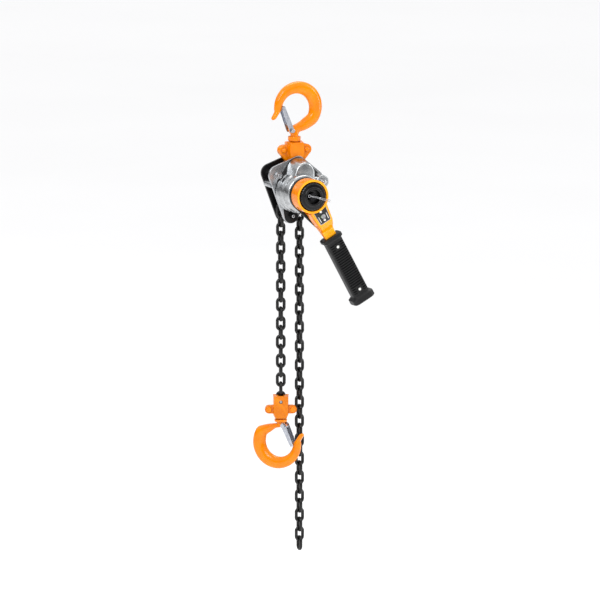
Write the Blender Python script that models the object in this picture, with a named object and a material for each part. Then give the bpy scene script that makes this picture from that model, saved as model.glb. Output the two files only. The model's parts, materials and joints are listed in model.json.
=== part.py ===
"""Mini lever chain hoist, 250 kg class, hanging from its top hook.

The origin is the seat of the top hook, the inner top of its bowl. +Z is up, the lever side faces -Y
and +X is to the right of someone who faces the lever. Helpers take millimetres and write metres.
Everything under the yoke is built around the drive axis, which runs along Y through the load sheave.
"""
import math

import bmesh
import bpy
from mathutils import Vector
from mathutils.geometry import tessellate_polygon

MM = 0.001

# Driving dimensions, in millimetres and degrees.
GAP = 0.3                 # running or seating gap between neighbours
CHAIN_WIRE = 4.0          # diameter of the chain wire
CHAIN_PITCH = 12.0        # inner length of one link
LINK_WIDTH = 12.8         # outer width of one link
LINK_PRESS = 0.4          # how far the links of one rigid strand press together
SHEAVE_PITCH_R = 12.9     # radius of the chain's centre line on the sheave
HOOK_BOWL_R = 19.0        # inner radius of the hook bowl
HOOK_BACK_R = 32.6        # outer radius of the hook
HOOK_WIDTH = 12.0         # widest section across the hook
SHANK_R = 5.0             # radius of the hook's neck
SHANK_OFFSET = 1.7        # from the shank's axis to the seat
TOP_NECK = 53.6           # from the seat to the collar of the top hook
LOWER_NECK = 45.0         # from the seat to the collar of the lower hook
COLLAR_R = 8.0
LATCH_PIN_R = 1.2
TOP_COLLAR = 5.6
LOWER_COLLAR = 3.3
PIN_R = 4.0               # suspension pin
PIN_DROP = 86.0           # from the top seat down to the suspension pin
PIN_TO_DRIVE = 35.5       # from the suspension pin to the drive axis
FRAME_TILT = 9.5          # the frame hangs turned this far about Y
PLATE_GAP = 19.0          # between the two side plates
PLATE_T = 3.0
STAY_X = 26.0             # upper stay bolts, from the drive axis
STAY_Z = 17.5
STAY_R = 2.5
FOOT_X = LINK_WIDTH / 2 - 5.2              # bottom stay bolt, from the drive axis, clear of the load strand
FOOT_Z = -31.0
FOOT_R = 2.0
SHAFT_R = 3.0             # drive shaft
GEAR_MODULE = 0.75
IDLER_TURN = 105.0        # direction of the upper idler, anticlockwise from +X of the frame
SMALL_TEETH = 8
LARGE_TEETH = 24
CASE_FLANGE = 2.0         # flange that the stay bolts clamp
CASE_DEPTH = 20.0         # gear case, behind the rear plate
COVER_DEPTH = 32.2        # brake cover, in front of the front plate
COVER_BACK_R = 26.3
COVER_FRONT_R = 23.5
RATCHET_R = 14.0
RATCHET_TEETH = 12
LEVER_ANGLE = -28.7       # the lever's turn about Y from straight down
LEVER_RING_R = 21.5
LEVER_RING_DEPTH = 18.7
LEVER_LENGTH = 155.0      # from the drive axis to the end of the grip
GRIP_START = 60.0
GRIP_WIDTH = 23.0
GRIP_DEPTH = 16.0
TANG_WIDTH = 16.0
TANG_DEPTH = 7.0
KNOB_R = 17.6
LOAD_LINKS = (10, 8)      # links in the two rigid stretches of the load strand
FREE_LINKS = (16, 17)     # links in the two rigid stretches of the free strand
FIRST_LINK_DROP = 49.2    # from the drive axis to the lowest fixed link on the load side
SHEAVE_LINKS = 13         # links from exit to exit over the sheave
CHAIN_PIN_R = 1.9
BLOCK_YAW = -23.0         # turn of the lower block about Z
HOOK_YAW = -48.0          # turn of the lower hook about Z
BLOCK_HALF = 10.0         # half width of the lower block's body
BLOCK_BOLT_X = 22.88 - 0.6 * LINK_WIDTH    # bolts of the lower block, clear of the free strand

# Sizes worked out from the driving ones.
PLATE_IN = PLATE_GAP / 2
PLATE_OUT = PLATE_IN + PLATE_T
FRONT_BACK = -(PLATE_OUT + GAP)                 # back of what sits on the front plate
COVER_FRONT = FRONT_BACK - COVER_DEPTH
LEVER_REAR_Y = COVER_FRONT - 1.0
LEVER_REAR_T = 3.0
LEVER_BACK = LEVER_REAR_Y - LEVER_REAR_T - GAP
LEVER_FRONT = LEVER_BACK - LEVER_RING_DEPTH
CASE_START = PLATE_OUT + GAP
CASE_END = CASE_START + CASE_DEPTH
SMALL_PITCH_R = GEAR_MODULE * SMALL_TEETH / 2
LARGE_PITCH_R = GEAR_MODULE * LARGE_TEETH / 2
IDLER_REACH = SMALL_PITCH_R + LARGE_PITCH_R
IDLERS = [
    (name, IDLER_REACH * math.cos(math.radians(turn)), IDLER_REACH * math.sin(math.radians(turn)), turn)
    for name, turn in (("upper", IDLER_TURN), ("lower", IDLER_TURN + 180.0))
]
LINK_HALF = (CHAIN_PITCH + CHAIN_WIRE - LINK_PRESS) / 2     # from a link's centre to its crown's centre line
HINGE_STEP = 2 * LINK_HALF - CHAIN_WIRE - GAP               # link spacing where two strands can swing
WIRE_R = CHAIN_WIRE / 2
TILT = math.radians(FRAME_TILT)
DRIVE_X = -SHANK_OFFSET - PIN_TO_DRIVE * math.sin(TILT)
DRIVE_Z = -PIN_DROP - PIN_TO_DRIVE * math.cos(TILT)
LOAD_X = DRIVE_X - SHEAVE_PITCH_R
FREE_X = DRIVE_X + SHEAVE_PITCH_R


# ---------------------------------------------------------------- materials
def finish(name, colour, roughness, metallic=0.0):
    material = bpy.data.materials.new(name)
    material.use_nodes = True
    shader = material.node_tree.nodes["Principled BSDF"]
    shader.inputs["Base Color"].default_value = (*colour, 1.0)
    shader.inputs["Roughness"].default_value = roughness
    shader.inputs["Metallic"].default_value = metallic
    return material


# ---------------------------------------------------------------- outlines
def circle(radius, centre=(0.0, 0.0), sides=16, start=0.0):
    """Points of a circle; start is the angle of the first one in degrees."""
    turns = [math.radians(start) + math.tau * i / sides for i in range(sides)]
    return [(centre[0] + radius * math.cos(t), centre[1] + radius * math.sin(t)) for t in turns]


def hull(points):
    """Convex hull of points, anticlockwise, by the monotone chain."""
    points = sorted(set((round(u, 6), round(v, 6)) for u, v in points))

    def half(run):
        kept = []
        for p in run:
            while len(kept) > 1 and cross(kept[-2], kept[-1], p) <= 1e-9:
                kept.pop()
            kept.append(p)
        return kept[:-1]

    return half(points) + half(points[::-1])


def cross(a, b, c):
    return (b[0] - a[0]) * (c[1] - a[1]) - (b[1] - a[1]) * (c[0] - a[0])


def hull_of(discs, sides=14):
    """Outline of a belt round discs given as (u, v, radius)."""
    return hull([p for u, v, radius in discs for p in circle(radius, (u, v), sides)])


def gear_outline(teeth, pitch_r, phase=0.0):
    """Trapezoid teeth with room to run: narrow at the tip, wide at the root."""
    tip_r = pitch_r + 0.75 * GEAR_MODULE
    root_r = pitch_r - 1.05 * GEAR_MODULE
    tip_half = 0.30 * GEAR_MODULE / tip_r
    root_half = 0.68 * GEAR_MODULE / root_r
    points = []
    for k in range(teeth):
        middle = math.radians(phase) + math.tau * k / teeth
        for radius, turn in ((root_r, -root_half), (tip_r, -tip_half), (tip_r, tip_half), (root_r, root_half)):
            points.append((radius * math.cos(middle + turn), radius * math.sin(middle + turn)))
    return points


def ratchet_outline(steep_angle):
    """Sawteeth: the radius grows away from each steep face."""
    root_r = RATCHET_R - 2.5
    points = []
    for k in range(RATCHET_TEETH):
        steep = math.radians(steep_angle) + math.tau * k / RATCHET_TEETH
        points.append((root_r * math.cos(steep - 0.02), root_r * math.sin(steep - 0.02)))
        points.append((RATCHET_R * math.cos(steep), RATCHET_R * math.sin(steep)))
    return points


# ---------------------------------------------------------------- shapes
def place(axis, u, v, height):
    """A point of an outline (u, v) at a height along an axis."""
    return {"X": (height, u, v), "Y": (u, height, v), "Z": (u, v, height)}[axis]


def prism(loops, low, high, axis="Y", draft=1.0, draft_centre=(0.0, 0.0)):
    """Extrudes an outline and its holes; draft scales the end at high about a centre."""
    shape = bmesh.new()
    flat = [p for loop in loops for p in loop]
    cu, cv = draft_centre
    far = [(cu + (u - cu) * draft, cv + (v - cv) * draft) for u, v in flat]
    ends = [[shape.verts.new(place(axis, u, v, low)) for u, v in flat]]
    ends.append([shape.verts.new(place(axis, u, v, high)) for u, v in far])
    caps = tessellate_polygon([[Vector((u, v, 0.0)) for u, v in loop] for loop in loops])
    for end in ends:
        for a, b, c in caps:
            shape.faces.new((end[a], end[b], end[c]))
    first = 0
    for loop in loops:
        for i in range(len(loop)):
            a, b = first + i, first + (i + 1) % len(loop)
            shape.faces.new((ends[0][a], ends[0][b], ends[1][b], ends[1][a]))
        first += len(loop)
    return shape


def turned(profile, sides=14, axis="Y", centre=(0.0, 0.0)):
    """Turns (radius, height) points about an axis; ends off the axis are joined, which leaves a bore."""
    shape = bmesh.new()
    rings = []
    for radius, height in profile:
        if radius < 1e-6:
            rings.append([shape.verts.new(place(axis, *centre, height))])
            continue
        rings.append([shape.verts.new(place(axis, u, v, height)) for u, v in circle(radius, centre, sides)])
    pairs = list(zip(rings, rings[1:]))
    if len(rings[0]) > 1 and len(rings[-1]) > 1:
        pairs.append((rings[-1], rings[0]))
    for one, two in pairs:
        for i in range(sides):
            j = (i + 1) % sides
            if len(one) == 1:
                shape.faces.new((one[0], two[i], two[j]))
            elif len(two) == 1:
                shape.faces.new((one[i], one[j], two[0]))
            else:
                shape.faces.new((one[i], one[j], two[j], two[i]))
    return shape


def rod(radius, low, high, centre=(0.0, 0.0), sides=12, axis="Y"):
    return turned([(0.0, low), (radius, low), (radius, high), (0.0, high)], sides, axis, centre)


def ring(inner, outer, low, high, centre=(0.0, 0.0), sides=14, axis="Y"):
    return turned([(inner, low), (outer, low), (outer, high), (inner, high)], sides, axis, centre)


def loft(stations, sides, power=1.0):
    """Skins rings given as (centre, half vector u, half vector v); a power under 1 squares their corners."""
    shape = bmesh.new()
    rings = []
    for centre, u, v in stations:
        points = []
        for i in range(sides):
            turn = math.tau * (i + 0.5) / sides
            c, s = math.cos(turn), math.sin(turn)
            c = math.copysign(abs(c) ** power, c)
            s = math.copysign(abs(s) ** power, s)
            points.append(shape.verts.new(Vector(centre) + Vector(u) * c + Vector(v) * s))
        rings.append(points)
    for one, two in zip(rings, rings[1:]):
        for i in range(sides):
            j = (i + 1) % sides
            shape.faces.new((one[i], one[j], two[j], two[i]))
    for end in (rings[0], rings[-1]):
        shape.faces.new(end)
    return shape


def box(low, high):
    (x0, y0, z0), (x1, y1, z1) = low, high
    return prism([[(x0, y0), (x1, y0), (x1, y1), (x0, y1)]], z0, z1, "Z")


def link(centre, along, across, crown_points=4, wire_sides=4):
    """One chain link; along points to its crown and across spans its width."""
    shape = bmesh.new()
    along, across = Vector(along).normalized(), Vector(across).normalized()
    normal = along.cross(across)
    crown_r = (LINK_WIDTH - CHAIN_WIRE) / 2
    rings = []
    for side in (1, -1):
        for i in range(crown_points):
            turn = math.pi * (i + 0.5) / crown_points
            out = across * (side * math.cos(turn)) + along * (side * math.sin(turn))
            stretch = crown_r / math.cos(math.pi / crown_points / 2)
            middle = Vector(centre) + along * side * (LINK_HALF - crown_r) + out * stretch
            turns = [math.tau * k / wire_sides for k in range(wire_sides)]
            rings.append([shape.verts.new(middle + (out * math.cos(t) + normal * math.sin(t)) * WIRE_R) for t in turns])
    for one, two in zip(rings, rings[1:] + rings[:1]):
        for k in range(wire_sides):
            j = (k + 1) % wire_sides
            shape.faces.new((one[k], one[j], two[j], two[k]))
    return shape


# ---------------------------------------------------------------- objects
def empty(name, parent=None, at=(0.0, 0.0, 0.0), turn=(0.0, 0.0, 0.0)):
    guide = bpy.data.objects.new(name, None)
    bpy.context.scene.collection.objects.link(guide)
    guide.parent = parent
    guide.location = Vector(at) * MM
    guide.rotation_euler = [math.radians(t) for t in turn]
    return guide


def solid(name, shape, material, parent):
    """Makes an object from a shape in millimetres, local to its parent."""
    bmesh.ops.recalc_face_normals(shape, faces=shape.faces)
    bmesh.ops.scale(shape, vec=(MM, MM, MM), verts=shape.verts)
    mesh = bpy.data.meshes.new(name)
    shape.to_mesh(mesh)
    shape.free()
    mesh.materials.append(material)
    mesh.shade_smooth()
    mesh.set_sharp_from_angle(angle=math.radians(35))
    piece = bpy.data.objects.new(name, mesh)
    bpy.context.scene.collection.objects.link(piece)
    piece.parent = parent
    return piece


def combine(piece, operation, shapes):
    """Joins shapes to a piece, or cuts them from it, with helpers that don't render."""
    for shape in shapes:
        number = len(piece.modifiers)
        helper = solid(f"{piece.name}_helper_{number}", shape, piece.data.materials[0], piece.parent)
        helper.hide_render = True
        helper.display_type = "WIRE"
        modifier = piece.modifiers.new(f"{operation.lower()}_{number}", "BOOLEAN")
        modifier.object = helper
        modifier.operation = operation
        modifier.solver = "EXACT"
    return piece


# ---------------------------------------------------------------- hooks and latches
def hook_stations(neck, collar, tail):
    """Sections of the hook from its tip round the bowl to the end of its shank.

    Each is (inner point, outer point, half width); the shank's axis is x = 0 and the seat is z = 0.
    """
    back_centre = Vector((3.3, HOOK_BOWL_R - 17.3))      # outer circle's centre, from the bowl's centre
    half = HOOK_WIDTH / 2
    sections = [
        ((-29.0, -31.0), (-32.0, -31.2), 1.8),
        ((-27.3, -30.0), (-33.0, -29.0), 3.2),
        ((-24.6, -26.0), (-30.6, -25.0), 3.8),
        ((-21.4, -21.6), (-28.8, -21.2), 4.0),
    ]
    for turn in (178, 164, 150, 136, 122, 109, 96, 84, 71, 58, 44, 30, 16, 2, -12, -25):
        t = math.radians(turn)
        out = Vector((math.cos(t), math.sin(t)))
        reach = out.dot(back_centre)
        reach += math.sqrt(reach * reach - back_centre.length_squared + HOOK_BACK_R ** 2)
        inner = out * HOOK_BOWL_R
        if turn in (96, 84):
            inner = Vector((inner.x, HOOK_BOWL_R))       # the flat seat between these two sections
        width = 4.2 + (half - 4.2) * min(1.0, (178 - turn) / 80)
        outer = out * reach
        sections.append(((inner.x, inner.y - HOOK_BOWL_R), (outer.x, outer.y - HOOK_BOWL_R), width))
    sections += [
        ((10.8, -31.8), (28.0, -38.4), half - 0.3),
        ((5.0, -35.9), (22.5, -42.2), half - 0.8),
        ((-2.0, -39.3), (15.0, -45.8), 5.0),
        ((-8.6, -41.6), (9.0, -47.6), 4.3),
        ((-10.0, -45.6), (5.4, -48.6), 4.3),
    ]
    squeeze = (neck - 36.0) / (53.6 - 36.0)              # a shorter neck draws in all that is under 36 mm

    def shift(point):
        x, z = point
        return (x + SHANK_OFFSET, z if z > -36.0 else -36.0 + (z + 36.0) * squeeze)

    sections = [(shift(a), shift(b), w) for a, b, w in sections]
    thread_r = SHANK_R - 0.4
    for radius, drop in (
        (SHANK_R, neck - 2.4), (SHANK_R, neck - 0.1), (COLLAR_R, neck), (COLLAR_R, neck + collar),
        (thread_r, neck + collar + 0.1), (thread_r, tail),
    ):
        sections.append(((-radius, -drop), (radius, -drop), radius))
    return sections


def hook_shape(neck, collar, tail):
    sides = 10
    grow = 1 / math.cos(math.pi / sides)                 # so that the flat inner facet lies on the outline
    stations = []
    for inner, outer, width in hook_stations(neck, collar, tail):
        a, b = Vector((inner[0], 0.0, inner[1])), Vector((outer[0], 0.0, outer[1]))
        stations.append(((a + b) / 2, (b - a) / 2 * grow, Vector((0.0, width, 0.0))))
    return loft(stations, sides)


def latch_parts(prefix, hook_guide, neck, steel, spring_steel):
    """A pressed latch, its pin and its spring; the latch bears on the hook's tip from inside the throat."""
    squeeze = (neck - 36.0) / (53.6 - 36.0)
    pivot = (-5.6, -36.0 + (-45.6 + 36.0) * squeeze)
    cheek_in, cheek_out = 4.6, 5.8
    guide = empty(f"{prefix}_latch_axis", hook_guide, (pivot[0], 0.0, pivot[1]))

    def near(point):
        return (point[0] - pivot[0], point[1] - pivot[1])

    web_top, web_foot = near((-15.4, -14.6)), near((-7.4, -37.6))
    outer_top = near((-19.6, -15.6))
    cheek = hull(circle(3.2, (0.0, 0.0), 12) + [web_top, outer_top, web_foot])
    web = [web_foot, web_top, (web_top[0] - 1.3, web_top[1] - 0.2), (web_foot[0] - 1.3, web_foot[1] - 0.4)]
    hole = circle(1.5, sides=12)
    latch = solid(f"{prefix}_latch", prism([cheek, hole], -cheek_out, -cheek_in), steel, guide)
    combine(latch, "UNION", [prism([cheek, hole], cheek_in, cheek_out), prism([web], -cheek_out + 0.1, cheek_out - 0.1)])
    head = cheek_out + GAP
    profile = [
        (0.0, -head - 3.2), (2.6, -head - 3.2), (2.6, -head - 2.2), (LATCH_PIN_R, -head - 2.2),
        (LATCH_PIN_R, head), (2.3, head), (2.3, head + 1.0), (0.0, head + 1.0),
    ]
    pin = turned(profile, 12)
    solid(f"{prefix}_latch_pin", pin, steel, guide)
    solid(f"{prefix}_latch_spring", ring(1.5, 2.7, -head - 1.9, -head, sides=12), spring_steel, guide)
    return pivot


# ---------------------------------------------------------------- chain
def sheave_path(distance):
    """Centre line of the chain from the load side, up, over the sheave and down; 0 is level with the axis."""
    arc = math.pi * SHEAVE_PITCH_R
    if distance <= 0:
        return Vector((-SHEAVE_PITCH_R, 0.0, distance))
    if distance >= arc:
        return Vector((SHEAVE_PITCH_R, 0.0, arc - distance))
    turn = math.pi - distance / SHEAVE_PITCH_R
    return Vector((SHEAVE_PITCH_R * math.cos(turn), 0.0, SHEAVE_PITCH_R * math.sin(turn)))


def sheave_joints():
    """Ends of the links that lie on the path, one pitch apart in a straight line."""
    distance = -(FIRST_LINK_DROP + CHAIN_PITCH / 2)
    points = [sheave_path(distance)]
    for _ in range(SHEAVE_LINKS):
        low, high = distance + CHAIN_PITCH * 0.9, distance + CHAIN_PITCH * 1.4
        for _ in range(40):
            distance = (low + high) / 2
            if (sheave_path(distance) - points[-1]).length < CHAIN_PITCH:
                low = distance
            else:
                high = distance
        points.append(sheave_path(distance))
    return points


def strand(name, x, first_z, count, open_first, yaw_first, yaw_step, material, parent, base):
    """A straight run of links joined into one solid; base is the parent's place in the world."""
    shapes = []
    for i in range(count):
        yaw = math.radians(yaw_first + yaw_step * i + (0.0 if (i % 2 == 0) == open_first else 90.0))
        centre = Vector((x, 0.0, first_z - CHAIN_PITCH * i)) - Vector(base)
        shapes.append(link(centre, (0, 0, 1), (math.cos(yaw), math.sin(yaw), 0)))
    return combine(solid(name, shapes[0], material, parent), "UNION", shapes[1:])


# ---------------------------------------------------------------- the model
def build_hook_end(materials):
    """Top hook, its latch, the yoke and its rivets."""
    orange, zinc, spring_steel, steel = (materials[k] for k in ("orange", "zinc", "spring", "steel"))
    root = empty("top_hook_axis", None, (-SHANK_OFFSET, 0.0, 0.0))
    collar_end = TOP_NECK + TOP_COLLAR
    chamber_top = collar_end + 7.0
    chamber_end = PIN_DROP - PIN_R - 3.2
    nut_top = chamber_top + GAP
    nut_end = chamber_end - 1.6
    hook = solid("top_hook", hook_shape(TOP_NECK, TOP_COLLAR, nut_end + 0.8), orange, root)
    solid("top_swivel_nut", ring(SHANK_R + 0.1, 7.0, -nut_end, -nut_top, sides=12, axis="Z"), steel, root)
    pivot = latch_parts("top", root, TOP_NECK, zinc, spring_steel)
    combine(hook, "DIFFERENCE", [rod(LATCH_PIN_R + GAP, -7.0, 7.0, pivot, 10)])

    yoke = empty("yoke_axis", root)
    top = -(collar_end + GAP)
    ear_z, ear_x = -70.5, 15.5
    bulge_y = PLATE_IN - 0.5
    lug_r = PIN_R + 4.2
    ears = hull_of([(-ear_x, ear_z, 6.8), (ear_x, ear_z, 6.8), (0.0, -PIN_DROP, lug_r)], 12)
    bulge = hull([(-10.0, top), (10.0, top), (-11.0, ear_z), (11.0, ear_z)] + circle(lug_r, (0.0, -PIN_DROP), 12))
    for name, side in (("yoke_front", -1.0), ("yoke_rear", 1.0)):
        seam = side * 0.2
        half = solid(name, prism([bulge], seam, side * bulge_y, draft=0.9, draft_centre=(0.0, -74.0)), orange, yoke)
        combine(half, "UNION", [prism([ears], seam, side * 3.7)])
        cuts = [
            rod(SHANK_R, -chamber_top - 1.0, -collar_end + 1.0, axis="Z", sides=16),
            rod(7.0 + GAP, -chamber_end, -chamber_top, axis="Z", sides=12),
            rod(PIN_R + GAP, -bulge_y - 1, bulge_y + 1, (0.0, -PIN_DROP), 16),
            rod(2.5 + GAP, -6, 6, (-ear_x, ear_z), 12),
            rod(2.5 + GAP, -6, 6, (ear_x, ear_z), 12),
        ]
        combine(half, "DIFFERENCE", cuts)
    for name, x in (("yoke_rivet_left", -ear_x), ("yoke_rivet_right", ear_x)):
        head = 3.7 + GAP
        profile = [
            (0.0, -head - 1.8), (3.2, -head - 1.4), (4.4, -head), (2.5, -head),
            (2.5, head), (4.4, head), (3.2, head + 1.4), (0.0, head + 1.8),
        ]
        solid(name, turned(profile, 12, centre=(x, ear_z)), orange, yoke)
    return yoke


def plate_outline(shrink=0.0):
    discs = [(-STAY_X, STAY_Z, 12.0), (STAY_X, STAY_Z, 12.0), (0.0, FOOT_Z, 10.0), (0.0, PIN_TO_DRIVE, 9.0)]
    return hull_of([(u, v, r - shrink) for u, v, r in discs], 20)


def build_frame(yoke, materials):
    """Side plates, stay bolts, covers and what is fixed between them."""
    silver, black, alloy, steel = (materials[k] for k in ("plate", "black", "alloy", "steel"))
    swing = empty("frame_pin_axis", yoke, (0.0, 0.0, -PIN_DROP))
    frame = empty("drive_axis", swing, (DRIVE_X + SHANK_OFFSET, 0.0, DRIVE_Z + PIN_DROP), (0.0, FRAME_TILT, 0.0))
    stays = [("left", -STAY_X, STAY_Z, STAY_R), ("right", STAY_X, STAY_Z, STAY_R), ("bottom", FOOT_X, FOOT_Z, FOOT_R)]
    bearing_r = 10.7
    holes = [circle(r + GAP, (x, z), 10) for _, x, z, r in stays]
    holes += [circle(PIN_R + GAP, (0.0, PIN_TO_DRIVE), 12), circle(bearing_r + GAP, sides=16)]
    solid("front_side_plate", prism([plate_outline()] + holes, -PLATE_OUT, -PLATE_IN), silver, frame)
    solid("rear_side_plate", prism([plate_outline()] + holes, PLATE_IN, PLATE_OUT), black, frame)
    solid("suspension_pin", rod(PIN_R, -PLATE_OUT + 0.1, PLATE_OUT - 0.1, (0.0, PIN_TO_DRIVE), 16), steel, frame)
    for name, low in (("sheave_bearing_front", -PLATE_OUT + 0.1), ("sheave_bearing_rear", PLATE_IN + 0.1)):
        solid(name, ring(8.0 + GAP, bearing_r, low, low + PLATE_T - 0.2, sides=16), materials["bronze"], frame)
    solid("side_spacer", rod(6.0, -PLATE_IN + GAP, PLATE_IN - GAP, (-31.7, 4.8), 16), silver, frame)

    ear_depth = 23.0                                    # the cover's ear that the right nut clamps
    nut_t = 4.4
    for side, x, z, radius in stays:
        seat = FRONT_BACK - (ear_depth if side == "right" else 0.0)
        nut_back = seat - GAP
        shoulder = radius + 1.5 if side != "bottom" else radius
        head_start = CASE_START + CASE_FLANGE + GAP
        profile = [
            (0.0, nut_back - nut_t - 1.5), (radius, nut_back - nut_t - 1.5), (radius, -PLATE_IN + GAP),
            (shoulder, -PLATE_IN + GAP), (shoulder, PLATE_IN - GAP), (radius, PLATE_IN - GAP),
            (radius, head_start), (radius * 1.8, head_start), (radius * 1.8, head_start + 3.5), (0.0, head_start + 3.5),
        ]
        solid(f"stay_bolt_{side}", turned(profile, 12, centre=(x, z)), steel, frame)
        nut = prism([circle(radius * 1.8, (x, z), 6, 15.0), circle(radius + 0.2, (x, z), 12)], nut_back - nut_t, nut_back)
        solid(f"stay_nut_{side}", nut, black if side == "bottom" else steel, frame)

    guide_left, guide_right = LINK_WIDTH / 2 - 8.1, 15.3 - LINK_WIDTH / 2       # clear of the links on both sides
    guide_block = [(guide_left, -24.9), (guide_right, -24.9), (guide_right, -18.5), (guide_left, -18.5)]
    solid("chain_guide", prism([guide_block], -PLATE_IN + GAP, PLATE_IN - GAP), steel, frame)

    wall = 2.0
    room = [(x, z, LARGE_PITCH_R + 1.3) for _, x, z, _ in IDLERS] + [(0.0, 0.0, LARGE_PITCH_R + 1.3)]
    flange = prism([plate_outline(0.8)], CASE_START, CASE_START + CASE_FLANGE)
    case = solid("gear_case", flange, black, frame)
    pan = hull_of([(x, z, r + wall) for x, z, r in room])
    combine(case, "UNION", [prism([pan], CASE_START + 0.5, CASE_END)])
    cuts = [prism([hull_of(room)], CASE_START - 1.0, CASE_END - wall)]
    cuts += [rod(r + GAP, CASE_START - 1.0, CASE_START + CASE_FLANGE + 1.0, (x, z), 10) for _, x, z, r in stays]
    combine(case, "DIFFERENCE", cuts)

    barrel_profile = [
        (0.0, FRONT_BACK), (COVER_BACK_R, FRONT_BACK), (COVER_BACK_R, FRONT_BACK - 6.0),
        (COVER_FRONT_R, COVER_FRONT + 1.5), (COVER_FRONT_R - 1.5, COVER_FRONT), (0.0, COVER_FRONT),
    ]
    cover = solid("brake_cover", turned(barrel_profile, 24), alloy, frame)
    hump = hull_of([(0.0, 27.0, 16.0), (0.0, 4.0, 20.0)], 20)
    ear_web = hull_of([(STAY_X, STAY_Z, 6.5), (8.0, 8.0, 12.0)], 16)
    joined = [
        prism([hump], FRONT_BACK, COVER_FRONT + 8.0, draft=0.82, draft_centre=(0.0, 20.0)),
        prism([ear_web], FRONT_BACK, FRONT_BACK - ear_depth + 0.8),
        rod(8.5, FRONT_BACK - ear_depth, FRONT_BACK, (STAY_X, STAY_Z), 14),
    ]
    combine(cover, "UNION", joined)
    hump_room = hull_of([(0.0, 27.0, 13.0), (0.0, 8.0, 17.0)], 14)
    hollows = [
        rod(21.5, COVER_FRONT + 2.5, FRONT_BACK + 1.0, sides=22),
        rod(9.5, COVER_FRONT - 1.0, FRONT_BACK, sides=14),
        prism([hump_room], FRONT_BACK + 1.0, COVER_FRONT + 12.0, draft=0.8, draft_centre=(0.0, 20.0)),
        rod(STAY_R + GAP, COVER_FRONT, FRONT_BACK + 1.0, (STAY_X, STAY_Z), 12),
    ]
    combine(cover, "DIFFERENCE", hollows)
    return frame


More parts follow.
